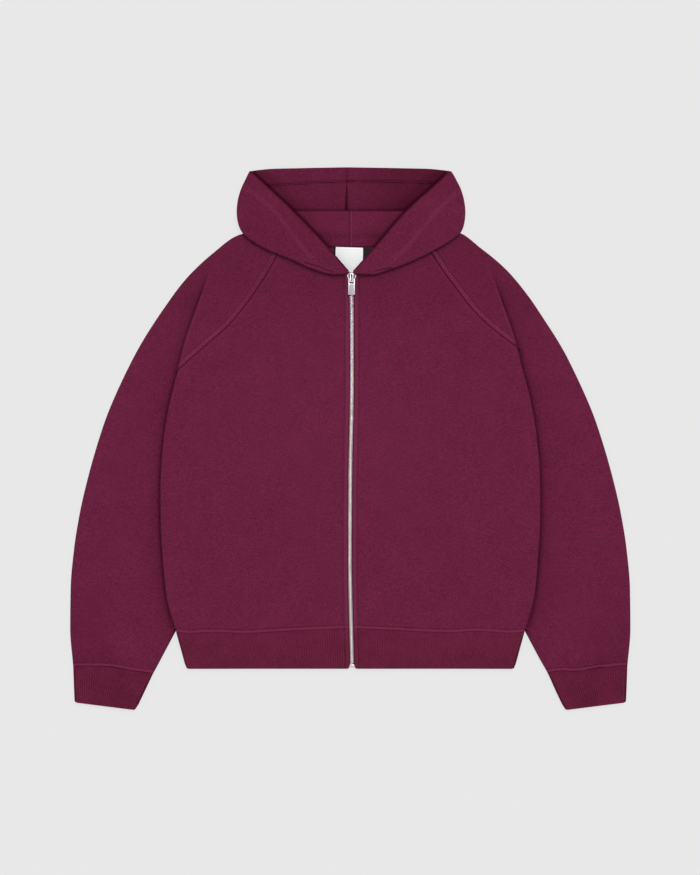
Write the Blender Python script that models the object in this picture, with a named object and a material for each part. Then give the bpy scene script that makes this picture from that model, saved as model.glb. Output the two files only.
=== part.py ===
"""Zip-up hooded sweatshirt laid flat on its back, made from the pieces that a maker cuts.

Metres, +Z up. The floor is Z = 0, the neck points to +Y and the zip runs along Y at X = 0.
Left and right are the wearer's, so the wearer's right side lies at -X. Every cloth piece is a
grid of points on the middle of its cloth, given its thickness on both sides. Half shapes are
worked out for X >= 0, and a side's sign puts them at -X or +X.
"""

import math

import bmesh
import bpy
import numpy as np

# Cloth
FLEECE = 0.0024           # thickness of the brushed fleece
RIB = 0.0030              # thickness of the doubled rib knit
WALE_PITCH = 0.0040       # from one rib of the knit to the next
WALE_HEIGHT = 0.0004      # how far a rib stands up
SEAM_GAP = 0.0004         # air between two pieces where a seam joins them
LAYER_STEP = 0.0044       # from the middle of a lower layer to the middle of the one on it
FOLD_RADIUS = LAYER_STEP / 2
ROLL_LENGTH = (FOLD_RADIUS - SEAM_GAP / 2) * math.pi / 2
GROUND = FLEECE / 2       # height of the middle of a fleece layer that lies on the floor

# Body
HEM_SEAM_Y = -0.307
HEM_END_Y = -0.3668
HEM_RISE = 0.0050         # how far the front's hem seam is drawn up at the zip
CENTRE_FRONT_NECK_Y = 0.2670
ZIP_HALF_OPENING = 0.0040  # from the zip's line to the folded edge of a front
SIDE_LIFT = 0.0074         # how far the body's sides are held up by the sleeve under them
LIFT_RAMP = 0.100          # width over which the cloth climbs onto the hidden sleeve
FRONT_FADE = 0.165         # length over which that lift dies away above the underarm, in front
BACK_FADE = 0.060
CREASE_WIDTH = 0.013       # width of the step from the shoulder cloth down to the hanging sleeve
NECK_RISE = 0.0042         # how much the front stands up at the top of the zip
NECK_RISE_SPREAD = 0.050

# Folded side of the body, and above the underarm the crease that it turns into
SIDE_EDGE = {
    "y": (-0.307, -0.290, -0.258, -0.180, -0.098, -0.008, 0.069, 0.112, 0.146, 0.184, 0.222, 0.261, 0.310),
    "x": (0.2780, 0.2850, 0.2925, 0.3005, 0.3036, 0.2990, 0.2862, 0.2745, 0.2660, 0.2540, 0.2405, 0.2270, 0.2080),
}
# The zip's middle
ZIP_LINE = {
    "y": (-0.3668, -0.3536, -0.2896, -0.2192, -0.1296, -0.0176, 0.0304, 0.2700),
    "x": (0.0028, 0.0026, 0.0010, -0.0004, -0.0005, 0.0006, 0.0018, 0.0020),
}
# Outer fold of a sleeve, from the neck to the cuff's seam
OUTER_EDGE = {
    "y": (-0.3620, -0.304, -0.266, -0.214, -0.163, -0.112, -0.061, -0.010, 0.042, 0.093, 0.144, 0.195,
          0.246, 0.285, 0.310, 0.323, 0.329, 0.331, 0.332),
    "x": (0.4432, 0.4478, 0.4480, 0.4456, 0.4400, 0.4312, 0.4192, 0.4048, 0.3872, 0.3648, 0.3392, 0.3072,
          0.2712, 0.2344, 0.2032, 0.1840, 0.1620, 0.1340, 0.1120),
}
# Inner fold of a sleeve, from just below the underarm to the cuff's seam; most of it lies under the body
INNER_EDGE = {
    "y": (-0.3736, -0.309, -0.243, -0.178, -0.114, -0.058, -0.002, 0.046, 0.082),
    "x": (0.3144, 0.2800, 0.2450, 0.2130, 0.1860, 0.1740, 0.1850, 0.2120, 0.2400),
}
# Front raglan seam of each side, from the underarm to the neck
RAGLAN_FRONT = {
    "right": {"x": (0.2742, 0.2552, 0.2274, 0.1944, 0.1685, 0.1442, 0.1210, 0.1080),
              "y": (0.1106, 0.1280, 0.1522, 0.1818, 0.2130, 0.2477, 0.2870, 0.3200)},
    "left": {"x": (0.2655, 0.2354, 0.2110, 0.1902, 0.1694, 0.1486, 0.1290, 0.1080),
             "y": (0.1470, 0.1696, 0.1904, 0.2130, 0.2406, 0.2685, 0.2980, 0.3200)},
}
BACK_NECK_CORNER = (0.1040, 0.3210)
NECK_FRONT = {"x": (0.0040, 0.0200, 0.0420, 0.0700, 0.0930, 0.1080),
              "y": (0.2670, 0.2680, 0.2730, 0.2870, 0.3045, 0.3200)}
NECK_BACK = {"x": (0.0, 0.0300, 0.0600, 0.1040), "y": (0.3090, 0.3100, 0.3130, 0.3210)}

# Sleeve stations above the underarm: share of the raglan seam from the neck, and share of the
# outer edge between the neck and the underarm
RAGLAN_STATIONS = {
    "seam": (0.0, 0.10, 0.22, 0.36, 0.52, 0.68, 0.82, 0.92, 0.975),
    "outer": (0.0, 0.085, 0.19, 0.33, 0.50, 0.67, 0.83, 0.93, 0.985),
}
# Columns across half a body panel: of the flat part, the climb onto the sleeve, and the part on it
PANEL_COLUMNS = {"flat": 3, "climb": 4, "on sleeve": 2}
# Columns across a sleeve: from its inner edge to the crease, the crease, and out to the fold
SLEEVE_COLUMNS = {"inner": 2, "crease": 3, "outer": 3}
# Stations below it: heights on the inner and on the outer edge
INNER_STATIONS = {
    "inner": (0.082, 0.046, -0.002, -0.058, -0.114, -0.178, -0.243, -0.309, -0.3736),
    "outer": (0.072, 0.035, -0.012, -0.064, -0.116, -0.175, -0.238, -0.302, -0.3620),
}

SIDES = {"right": -1.0, "left": 1.0}

# Labels at the back neck: corners, and the height of the middle of the cloth
LABELS = {
    "neck_label": {"corners": ((-0.0237, 0.3069), (0.0203, 0.3056), (0.0197, 0.2700), (-0.0242, 0.2712)),
                   "z": 0.0039, "thickness": 0.0008},
    "size_label": {"corners": ((-0.0256, 0.3066), (0.0352, 0.3050), (0.0350, 0.2880), (-0.0258, 0.2896)),
                   "z": 0.0030, "thickness": 0.0005},
}

# Zip
TAPE = {"outer": 0.0150, "top": 0.2640, "bottom": -0.3595, "z": 0.0034, "thickness": 0.0006}
CHAIN = {"half": 0.0029, "top": 0.2600, "bottom": -0.3595, "z": 0.0051, "thickness": 0.0022}
ZIP_TOP_X = 0.0020        # X of the slider's middle
BOTTOM_STOP = {"x": (-0.0007, 0.0061), "y": (-0.3645, -0.3600), "z": (0.0031, 0.0064)}
SLIDER = {
    # outline's +X half from the top down, as (x, y)
    "plate": ((0.0035, 0.2668), (0.0062, 0.2655), (0.0075, 0.2636), (0.0072, 0.2615), (0.0054, 0.2580),
              (0.0050, 0.2498), (0.0042, 0.2490)),
    "lower plate z": (0.0058, 0.0068),
    "upper plate z": (0.0114, 0.0128),
    "post y": (0.2632, 0.2662),
    "post half width": 0.0015,
    # side view of the bridge, as (y, z): outside from foot to foot, then inside
    "bridge profile": ((0.2652, 0.0124), (0.2652, 0.0150), (0.2640, 0.0164), (0.2512, 0.0164),
                       (0.2500, 0.0154), (0.2500, 0.0124), (0.2514, 0.0124), (0.2514, 0.0146),
                       (0.2520, 0.0150), (0.2632, 0.0150), (0.2638, 0.0145), (0.2638, 0.0124)),
    "bridge half width": 0.0014,
}
# The tab hangs on the bridge by the crossbar above its hole
PULL = {
    "outline": ((0.0046, 0.2549), (0.0056, 0.2539), (0.0057, 0.2306), (0.0049, 0.2298)),
    "hole x": (-0.0022, 0.0022),
    "hole y": (0.2460, 0.2536),
    "thickness": 0.0014,
    "hinge": (0.25425, 0.0140),   # y and z of its axis, which runs along X
}

# Hood: the fold round its outside and the opening's edge, each from the zip to the top corner
HOOD_FOLD = {
    "right": {"x": (0.0100, 0.0333, 0.0749, 0.1141, 0.1461, 0.1730, 0.1814, 0.1778, 0.1594),
              "y": (0.2630, 0.2646, 0.2805, 0.2939, 0.3075, 0.3320, 0.3613, 0.3834, 0.4285)},
    "left": {"x": (0.0100, 0.0378, 0.0818, 0.1283, 0.1580, 0.1749, 0.1835, 0.1798, 0.1610),
             "y": (0.2630, 0.2621, 0.2805, 0.2989, 0.3130, 0.3296, 0.3565, 0.3883, 0.4280)},
}
HOOD_OPENING = {
    "right": {"x": (0.0018, 0.0357, 0.0909, 0.1312, 0.1500), "y": (0.2672, 0.3062, 0.3638, 0.4032, 0.4215)},
    "left": {"x": (0.0040, 0.0378, 0.0880, 0.1310, 0.1500), "y": (0.2672, 0.3050, 0.3626, 0.4040, 0.4220)},
}
HOOD_TOP = {"y": (0.4336, 0.4322, 0.4300), "x": (0.0, 0.080, 0.140)}
NECK_FOLD_Y = 0.3640      # where the part above the neck folds back under itself
CROWN_FOLD_Y = 0.3420     # where the crown's part folds on the floor, out of sight
FOLD_FADE = (0.0985, 0.140, 0.168)  # X where the fold over the neck starts to end, is flat, and is down

# The hood's rows up to the shoulder: the sewn end, which lies on the body just above the neck
# seam, and the shares of the outside fold and of the opening's edge that the row reaches
HOOD_FRONT_ROWS = (
    # end x, end y, fold share, opening share
    (0.0085, 0.2700, 0.000, 0.000),
    (0.0160, 0.2705, 0.045, 0.045),
    (0.0260, 0.2720, 0.090, 0.095),
    (0.0450, 0.2775, 0.180, 0.175),
    (0.0700, 0.2880, 0.270, 0.250),
    (0.0880, 0.3000, 0.370, 0.330),
    (0.0970, 0.3060, 0.455, 0.405),
)
# From there the rows reach the centre seam: Y and level in layers at the seam
HOOD_BACK_ROWS = (
    # seam y, level, fold share, opening share
    (0.3079, 0.65, 0.530, 0.470),
    (0.3200, 0.95, 0.585, 0.520),
    (0.3330, 2.00, 0.635, 0.565),
    (0.3480, 2.00, 0.670, 0.600),
)
# After the two folds the crown lies on the floor
HOOD_CROWN_ROWS = (
    (0.3620, 0.0, 0.830, 0.750),
    (0.3850, 0.0, 0.890, 0.830),
    (0.4100, 0.0, 0.945, 0.915),
    (0.4336, 0.0, 1.000, 1.000),
)
SHOULDER_X = 0.0985       # the neck seam's corner between front and back
HOOD_SEAM_X = (0.0750, 0.0500, 0.0250, 0.0002)  # columns from there to the centre seam
FOLD_SHARES = (0.700, 0.800, 0.625, 0.720)  # of the outside fold, then of the opening's edge

# Cuff corners, outer and inner, at its seam and at its end
CUFF = {"outer": ((0.4430, -0.3625), (0.4408, -0.4208)), "inner": ((0.3148, -0.3741), (0.3429, -0.4331))}
HEM_BAND = {"y": (HEM_SEAM_Y, HEM_END_Y), "x": (0.2780, 0.2625)}


def smooth(share):
    """0 below 0, 1 above 1, and an even curve between."""
    share = np.clip(share, 0.0, 1.0)
    return share * share * (3.0 - 2.0 * share)


def through(knots, values, at):
    """Values at the places in at, on a smooth curve through values at the rising knots."""
    knots = np.asarray(knots, float)
    values = np.asarray(values, float)
    slopes = np.gradient(values, knots, axis=0)
    at = np.clip(np.asarray(at, float), knots[0], knots[-1])
    low = np.clip(np.searchsorted(knots, at, side="right") - 1, 0, len(knots) - 2)
    span = knots[low + 1] - knots[low]
    share = (at - knots[low]) / span
    if values.ndim == 2:
        span, share = span[..., None], share[..., None]
    start, end = values[low], values[low + 1]
    return (
        (1 + 2 * share) * (1 - share) ** 2 * start
        + share * (1 - share) ** 2 * span * slopes[low]
        + share**2 * (3 - 2 * share) * end
        + share**2 * (share - 1) * span * slopes[low + 1]
    )


def along(points, shares):
    """Points at these shares of the length of a smooth curve through points."""
    points = np.asarray(points, float)
    steps = np.linalg.norm(np.diff(points, axis=0), axis=1)
    knots = np.concatenate([[0.0], np.cumsum(steps)]) / steps.sum()
    return through(knots, points, shares)


def side_edge(y):
    return through(SIDE_EDGE["y"], SIDE_EDGE["x"], y)


def outer_edge(y):
    return through(OUTER_EDGE["y"], OUTER_EDGE["x"], y)


def zip_line(y):
    """X of the zip's middle: it lies in one long shallow wave."""
    return through(ZIP_LINE["y"], ZIP_LINE["x"], y)


def seam_points(side):
    """The front raglan seam of a side, from the neck to the underarm."""
    table = RAGLAN_FRONT[side]
    return np.column_stack([table["x"], table["y"]])[::-1]


def back_seam_points(side):
    """The back raglan seam: the front one, moved at its top to the back's neck corner."""
    points = seam_points(side).copy()
    share = np.linspace(1.0, 0.0, len(points))[:, None] ** 2
    return points + share * (np.array(BACK_NECK_CORNER) - points[0])


def underarm(side):
    return seam_points(side)[-1]


def seam_x(side, y):
    points = seam_points(side)[::-1]
    return through(points[:, 1], points[:, 0], y)


def hidden_edge(side, y):
    """X by which the body has climbed onto the sleeve: inside its inner fold, and the seam above it."""
    corner = underarm(side)
    knots = np.append(INNER_EDGE["y"], corner[1])
    below = through(knots, np.append(INNER_EDGE["x"], corner[0]), y)
    below = np.minimum(below - 0.008, side_edge(y) - 0.016)
    return np.where(y <= corner[1], below, seam_x(side, y) - 0.016)


def raised(side, x, y, fade):
    """Height that the hidden sleeve gives the body's cloth."""
    across = smooth((x - hidden_edge(side, y)) / LIFT_RAMP + 1.0)
    return SIDE_LIFT * across * (1.0 - smooth((y - underarm(side)[1]) / fade))


def neck_rise(x, y):
    away = np.hypot(x, (y - CENTRE_FRONT_NECK_Y) * 0.8) / NECK_RISE_SPREAD
    return NECK_RISE * np.exp(-0.5 * away**2)


def front_level(side, x, y):
    """Height of the middle of the front's cloth."""
    return GROUND + LAYER_STEP + raised(side, x, y, FRONT_FADE) + neck_rise(x, y)


def hem_rise(x, end):
    """How far the front's hem seam is drawn up: most at the zip, and nothing from the end outwards."""
    return np.interp(x, (0.0, end), (HEM_RISE, 0.0))


def back_level(side, x, y):
    return GROUND + raised(side, x, y, BACK_FADE)


def rolled_end(angle, count):
    """A strip ROLL_LENGTH long that bends by angle: steps outwards and down, from its flat end."""
    turn = np.linspace(0.0, 1.0, count + 1) * angle
    if angle < 0.02:
        return np.linspace(0.0, ROLL_LENGTH, count + 1), np.zeros(count + 1)
    radius = ROLL_LENGTH / angle
    return radius * np.sin(turn), radius * (1.0 - np.cos(turn))


def edge_clearance(angle, thickness=FLEECE):
    """From a piece's stated edge back to the middle of its cloth there."""
    return thickness / 2 * math.sin(angle) + SEAM_GAP / 2 * math.cos(angle)


def side_roll(side, y):
    """How far the side of a body panel has turned down at y: a quarter turn below the underarm."""
    return math.pi / 2 * float(smooth((underarm(side)[1] + 0.012 - y) / 0.024))


def patch(bottom, top, inner, outer, up, across):
    """A grid between four border curves, at shares up (inner to outer curves) and across (rows)."""
    up, across = up[:, None, None], across[None, :, None]
    blend = (1 - up) * bottom[None] + up * top[None] + (1 - across) * inner[:, None] + across * outer[:, None]
    corners = (
        (1 - up) * (1 - across) * bottom[0] + (1 - up) * across * bottom[-1]
        + up * (1 - across) * top[0] + up * across * top[-1]
    )
    return blend - corners


def panel_columns(side, start, end, y):
    """X of a panel's columns in the row at y, close together where the cloth climbs."""
    edge = min(float(hidden_edge(side, y)), end - 0.012)
    foot = edge - LIFT_RAMP
    parts = ((start, foot, "flat"), (foot, edge, "climb"), (edge, end, "on sleeve"))
    columns = [start]
    for low, high, part in parts:
        columns.extend(np.linspace(low, high, PANEL_COLUMNS[part] + 1)[1:])
    return np.array(columns)


def panel_plan(side, neck, seam, inner_x, lower_rows):
    """Plan of half a body panel up to where its outer edge starts to roll, and each row's roll."""
    corner = underarm(side)
    low_y = np.concatenate([
        np.linspace(HEM_SEAM_Y + SEAM_GAP / 2, corner[1] - 0.020, lower_rows - 2),
        [corner[1] - 0.008, corner[1]],
    ])
    rolls = [side_roll(side, y) for y in low_y]
    lower = []
    for y, angle in zip(low_y, rolls):
        out, _ = rolled_end(angle, 1)
        end = float(side_edge(y)) - edge_clearance(angle) - out[-1]
        columns = panel_columns(side, inner_x(y), end, y)
        lower.append(np.column_stack([columns, np.full(len(columns), y)]))
    lower = np.array(lower)

    rise = 1.0 - np.array([1.0, *RAGLAN_STATIONS["seam"][::-1]])
    outer = along(seam, 1.0 - rise)
    outer_rolls = [side_roll(side, y) for y in outer[:, 1]]
    ends = [edge_clearance(a) + rolled_end(a, 1)[0][-1] for a in outer_rolls]
    outer[:, 0] -= ends
    outer[0] = lower[-1, -1]
    centre_y = corner[1] + (neck[0][1] - corner[1]) * rise
    inner = np.array([[inner_x(y), y] for y in centre_y])
    bottom = lower[-1]
    share = (bottom[:, 0] - bottom[0, 0]) / (bottom[-1, 0] - bottom[0, 0])
    top_share = (neck[:, 0] - neck[0, 0]) / (neck[-1, 0] - neck[0, 0])
    top = np.column_stack([
        neck[0, 0] + (outer[-1, 0] - neck[0, 0]) * share,
        through(top_share, neck[:, 1], share),
    ])
    inner[-1], outer[-1] = top[0], top[-1]
    upper = patch(bottom, top, inner, outer, rise, share)
    return np.concatenate([lower, upper[1:]]), rolls + outer_rolls[1:]


def panel_grid(side, plan, rolls, level, turn, roll_columns=3):
    """Middle of a body panel: its plan on its level, with the outer edge rolled down or up.

    The second grid holds the way each row's outer end faces.
    """
    x, y = plan[..., 0], plan[..., 1]
    flat = np.stack([x, y, level(side, x, y)], axis=-1)
    strips, facing = [], []
    for row, angle in zip(flat, rolls):
        out, down = rolled_end(angle, roll_columns)
        end = row[-1]
        strips.append([[end[0] + o, end[1], end[2] + turn * d] for o, d in zip(out[1:], down[1:])])
        facing.append([math.sin(angle), 0.0, -turn * math.cos(angle)])
    return np.concatenate([flat, np.array(strips)], axis=1), np.array(facing)


def front_grid(side, lower_rows=10):
    """Middle of a front, from the zip to the raglan seam and the folded side."""
    sign = SIDES[side]
    neck = np.column_stack([NECK_FRONT["x"], NECK_FRONT["y"]])
    neck[0, 0] = ZIP_HALF_OPENING + sign * float(zip_line(CENTRE_FRONT_NECK_Y))
    plan, rolls = panel_plan(
        side, neck, seam_points(side), lambda y: ZIP_HALF_OPENING + sign * float(zip_line(y)), lower_rows
    )
    end = float(hidden_edge(side, HEM_SEAM_Y)) - LIFT_RAMP
    plan[..., 1] += hem_rise(plan[..., 0], end) * (1.0 - smooth((plan[..., 1] - HEM_SEAM_Y) / 0.080))
    grid, facing = panel_grid(side, plan, rolls, front_level, -1.0)
    grid[..., 0] *= sign
    facing[..., 0] *= sign
    return grid, {-1: facing}


def back_grid(lower_rows=10):
    """Middle of the back, from one folded side to the other."""
    halves, ends = [], []
    for side, sign in SIDES.items():
        neck = np.column_stack([NECK_BACK["x"], NECK_BACK["y"]])
        plan, rolls = panel_plan(side, neck, back_seam_points(side), lambda y: 0.0, lower_rows)
        grid, facing = panel_grid(side, plan, rolls, back_level, 1.0)
        grid[..., 0] *= sign
        facing[..., 0] *= sign
        halves.append(grid)
        ends.append(facing)
    right, left = halves
    left[:, 0, :] = right[:, 0, :] = (left[:, 0, :] + right[:, 0, :]) / 2
    return np.concatenate([right[:, :0:-1], left], axis=1), {0: ends[0], -1: ends[1]}


def sleeve_stations(side):
    """Each section of a sleeve: its front, outer and back points, its lifts and its inner roll."""
    corner = underarm(side)
    front = along(seam_points(side), RAGLAN_STATIONS["seam"])
    back = along(back_seam_points(side), RAGLAN_STATIONS["seam"])
    low_y = corner[1] - 0.004
    shoulder = [(x, y) for x, y in zip(OUTER_EDGE["x"], OUTER_EDGE["y"]) if y > low_y]
    shoulder = along([*shoulder[::-1], (float(outer_edge(low_y)), low_y)], RAGLAN_STATIONS["outer"])
    stations = []
    for f, b, outer in zip(front, back, shoulder):
        lifts = [SIDE_LIFT * (1 - float(smooth((p[1] - corner[1]) / fade)))
                 for p, fade in ((f, FRONT_FADE), (b, BACK_FADE))]
        stations.append((f, tuple(outer), b, lifts, 0.0))
    # Three sections lead the cloth round the outside of the underarm and under the body
    around = (
        (0.0030, 0.0000, 0.008, 0.95, 0.35),
        (0.0012, 0.0070, 0.016, 0.0, math.pi / 2),
        (-0.0060, 0.0135, 0.024, 0.0, math.pi / 2),
    )
    for out, down, outer_down, lift, angle in around:
        end = (corner[0] + out, corner[1] - down)
        y = corner[1] - outer_down
        stations.append((end, (float(outer_edge(y)), y), end, [SIDE_LIFT * lift] * 2, angle))
    knots = np.append(INNER_EDGE["y"], corner[1])
    values = np.append(INNER_EDGE["x"], corner[0])
    for inner_y, outer_y in zip(INNER_STATIONS["inner"], INNER_STATIONS["outer"]):
        end = (float(through(knots, values, inner_y)), inner_y)
        stations.append((end, (float(outer_edge(outer_y)), outer_y), end, [0.0, 0.0], math.pi / 2))
    return stations


def sleeve_shares(side, end, outer, start, stop, length):
    """Distances of a section's columns from its inner edge, close together at the crease."""
    fine = np.linspace(start, stop, 80)
    x = end[0] + (outer[0] - end[0]) / length * fine
    y = end[1] + (outer[1] - end[1]) / length * fine
    past = x - side_edge(y)
    least = (stop - start) / 12
    foot = float(np.interp(0.0, past, fine))
    head = float(np.interp(-CREASE_WIDTH, past, fine))
    head = min(max(head, start + least), stop - 3 * least)
    foot = min(max(foot, head + least), stop - least)
    distance = [start]
    for low, high, part in ((start, head, "inner"), (head, foot, "crease"), (foot, stop, "outer")):
        distance.extend(np.linspace(low, high, SLEEVE_COLUMNS[part] + 1)[1:])
    return np.array(distance)


def sleeve_layer(side, end, fold, level, lift, angle, turn, roll_columns):
    """One layer of a sleeve section, from its rolled inner end to the middle of the outer fold."""
    end = np.array(end)
    length = np.linalg.norm(fold - end)
    heading = (fold - end) / length
    out, down = rolled_end(angle, roll_columns)
    start = edge_clearance(angle) + out[-1]
    distance = sleeve_shares(side, end, fold, start, length, length)
    plan = end + heading * distance[:, None]
    crease = smooth(1.0 - (plan[:, 0] - side_edge(plan[:, 1])) / CREASE_WIDTH)
    flat = np.column_stack([plan, level + lift * crease])
    strip = [[*(plan[0] - heading * o), flat[0, 2] + turn * d] for o, d in zip(out[1:], down[1:])]
    facing = [*(-heading * math.sin(angle)), -turn * math.cos(angle)]
    return np.concatenate([np.array(strip)[::-1], flat]), facing


def sleeve_grid(side, fold_columns=5, roll_columns=2):
    """Middle of a sleeve: front layer, outer fold, back layer, at each of its sections."""
    rows, fronts, backs = [], [], []
    for front, outer, back, lifts, angle in sleeve_stations(side):
        heading = np.array(outer) - (np.array(front) + np.array(back)) / 2
        heading /= np.linalg.norm(heading)
        centre = np.array(outer) - heading * (FLEECE / 2 + FOLD_RADIUS)
        top, front_facing = sleeve_layer(
            side, front, centre, GROUND + LAYER_STEP, lifts[0], angle, -1.0, roll_columns
        )
        low, back_facing = sleeve_layer(side, back, centre, GROUND, lifts[1], angle, 1.0, roll_columns)
        turn = np.linspace(math.pi / 2, -math.pi / 2, fold_columns + 1)[1:-1]
        centre = np.array([*centre, GROUND + FOLD_RADIUS])
        fold = centre + np.column_stack([np.outer(np.cos(turn), heading), np.sin(turn)]) * FOLD_RADIUS
        rows.append(np.concatenate([top, fold, low[::-1]]))
        fronts.append(front_facing)
        backs.append(back_facing)
    grid, fronts, backs = np.array(rows), np.array(fronts), np.array(backs)
    for part in (grid, fronts, backs):
        part[..., 0] *= SIDES[side]
    return grid, {0: fronts, -1: backs}


def wales(start, stop, count):
    """Places from start to stop for count ribs: each has a valley at its start and a top."""
    return np.linspace(start, stop, 2 * count + 1)


def cuff_grid(side, rows=3, columns=5, fold_columns=4):
    """Middle of a cuff, a closed flat tube that narrows to its end, and its ribs' heights.

    The third result lists the columns that the plain inside has.
    """
    width = math.dist(CUFF["outer"][0], CUFF["inner"][0]) - RIB - 2 * FOLD_RADIUS
    ribs = round(width / WALE_PITCH)
    turn = np.linspace(math.pi / 2, -math.pi / 2, fold_columns + 1)[1:-1]
    low, high = RIB / 2, RIB / 2 + LAYER_STEP
    middle = low + FOLD_RADIUS
    grid = []
    for down in np.linspace(0.0, 1.0, rows):
        outer = np.array(CUFF["outer"][0]) * (1 - down) + np.array(CUFF["outer"][1]) * down
        inner = np.array(CUFF["inner"][0]) * (1 - down) + np.array(CUFF["inner"][1]) * down
        heading = (outer - inner) / np.linalg.norm(outer - inner)
        ends = [p + s * heading * (RIB / 2 + FOLD_RADIUS) for p, s in ((inner, 1), (outer, -1))]
        top = ends[0] + (ends[1] - ends[0]) * wales(0.0, 1.0, ribs)[:, None]
        under = ends[1] + (ends[0] - ends[1]) * np.linspace(0.0, 1.0, columns)[:, None]
        folds = []
        for centre, way in ((ends[1], 1.0), (ends[0], -1.0)):
            folds.append([
                [*(centre + way * heading * FOLD_RADIUS * math.cos(a)), middle + way * FOLD_RADIUS * math.sin(a)]
                for a in turn
            ])
        grid.append(np.concatenate([
            np.column_stack([top, np.full(len(top), high)]), folds[0],
            np.column_stack([under, np.full(columns, low)]), folds[1],
        ]))
    grid = np.array(grid)
    grid[..., 0] *= SIDES[side]
    height = np.zeros(grid.shape[1])
    height[1 : 2 * ribs : 2] = WALE_HEIGHT
    plain = [*np.linspace(0, 2 * ribs, columns).astype(int), *range(2 * ribs + 1, grid.shape[1])]
    return grid, height, plain


def hem_grid(rows=3, fold_columns=4, plain_columns=10):
    """Middle of the hem band, from the zip round the right side, the back and the left side.

    The second result holds its ribs' heights, the third the columns that the plain inside has.
    """
    turn = np.linspace(math.pi / 2, -math.pi / 2, fold_columns + 1)[1:-1]
    ribs = round(HEM_BAND["x"][0] / WALE_PITCH)
    grid = []
    for down in np.linspace(0.0, 1.0, rows):
        y = HEM_SEAM_Y - SEAM_GAP / 2 + (HEM_END_Y - HEM_SEAM_Y) * down
        width = HEM_BAND["x"][0] + (HEM_BAND["x"][1] - HEM_BAND["x"][0]) * down
        fade = 1.0 - float(smooth(down / 0.85))
        halves = []
        for side, sign in SIDES.items():
            start = ZIP_HALF_OPENING + sign * float(zip_line(y))
            stop = width - RIB / 2 - FOLD_RADIUS
            edge = float(hidden_edge(side, HEM_SEAM_Y))
            front_x = wales(start, stop, ribs)
            back_x = panel_columns(side, 0.0, stop, HEM_SEAM_Y)
            lifts = [SIDE_LIFT * fade * smooth((x - edge) / LIFT_RAMP + 1.0) for x in (front_x, back_x)]
            bend = int(np.argmin(abs(front_x - edge + LIFT_RAMP)))
            front_y = y + fade * hem_rise(front_x, front_x[bend])
            front = np.column_stack([front_x, front_y, RIB / 2 + LAYER_STEP + lifts[0]])
            back = np.column_stack([back_x, np.full(len(back_x), y), RIB / 2 + lifts[1]])[::-1]
            middle = RIB / 2 + FOLD_RADIUS + lifts[1][-1]
            fold = [[stop + FOLD_RADIUS * math.cos(a), y, middle + FOLD_RADIUS * math.sin(a)] for a in turn]
            half = np.concatenate([front, fold, back])
            half[:, 0] *= sign
            halves.append(half)
        grid.append(np.concatenate([halves[0], halves[1][-2::-1]]))
    grid = np.array(grid)
    columns = grid.shape[1]
    height = np.zeros(columns)
    height[1 : 2 * ribs : 2] = WALE_HEIGHT
    height[columns - 2 * ribs : columns - 1 : 2] = WALE_HEIGHT
    under = np.unique([*np.linspace(0, 2 * ribs, plain_columns).astype(int), bend])
    plain = [*under, *range(2 * ribs + 1, columns - 2 * ribs - 1), *(columns - 1 - under[::-1])]
    return grid, height, plain


def hood_back_rows():
    """The rows that reach the centre seam, with those round the two folds over the neck.

    The last value parts the rows between the two folds, in layers, where the folds die away.
    """
    turn = np.array([0.0, math.pi / 2, math.pi])
    upper = NECK_FOLD_Y - FLEECE / 2 - FOLD_RADIUS
    lower = CROWN_FOLD_Y + FLEECE / 2 + FOLD_RADIUS
    path = [(upper + FOLD_RADIUS * math.sin(a), 1.5 + 0.5 * math.cos(a)) for a in turn]
    path += [(lower - FOLD_RADIUS * math.sin(a), 0.5 + 0.5 * math.cos(a)) for a in turn]
    low_fold, high_fold, low_opening, high_opening = FOLD_SHARES
    rows = [(*row, 0.0) for row in HOOD_BACK_ROWS]
    for share, (y, level), parting in zip(np.linspace(0.0, 1.0, len(path)), path, (0, 0, 0.5, -0.5, 0, 0)):
        rows.append((y, level, low_fold + (high_fold - low_fold) * share,
                     low_opening + (high_opening - low_opening) * share, parting))
    return [*rows, *((*row, 0.0) for row in HOOD_CROWN_ROWS)]


def hood_bottom(side, x, y):
    """Height of the middle of the hood's lowest layer: on the garment, then down on the floor."""
    on_body = front_level(side, x, np.minimum(y, 0.33)) + LAYER_STEP
    return on_body + (GROUND - on_body) * smooth((y - 0.345) / 0.032)


def hood_flap(side, fold_share, opening_share, flap_columns, fold_columns):
    """A row of the hood from the opening's edge over the flap and round the outside fold."""
    outside = np.column_stack([HOOD_FOLD[side]["x"], HOOD_FOLD[side]["y"]])
    opening = np.column_stack([HOOD_OPENING[side]["x"], HOOD_OPENING[side]["y"]])
    fold = along(outside, [fold_share])[0]
    edge = along(opening, [opening_share])[0]
    heading = (fold - edge) / np.linalg.norm(fold - edge)
    centre = fold - heading * (FLEECE / 2 + FOLD_RADIUS)
    low = float(hood_bottom(side, centre[0], centre[1]))
    clear = GROUND + LAYER_STEP * (1 + 2 * float(smooth((0.396 - edge[1]) / 0.028)))
    if edge[1] < 0.30:
        clear = max(clear, float(front_level(side, edge[0], edge[1])) + 2 * LAYER_STEP)
    row = []
    for share in np.linspace(1.0, 0.0, flap_columns + 1):
        rise = (clear - low - LAYER_STEP) * float(smooth(share * 1.3))
        row.append([*(centre + (edge - centre) * share), low + LAYER_STEP + rise])
    for angle in np.linspace(math.pi / 2, -math.pi / 2, fold_columns + 1)[1:]:
        out = heading * FOLD_RADIUS * math.cos(angle)
        row.append([*(centre + out), low + FOLD_RADIUS * (1 + math.sin(angle))])
    return row


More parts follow.
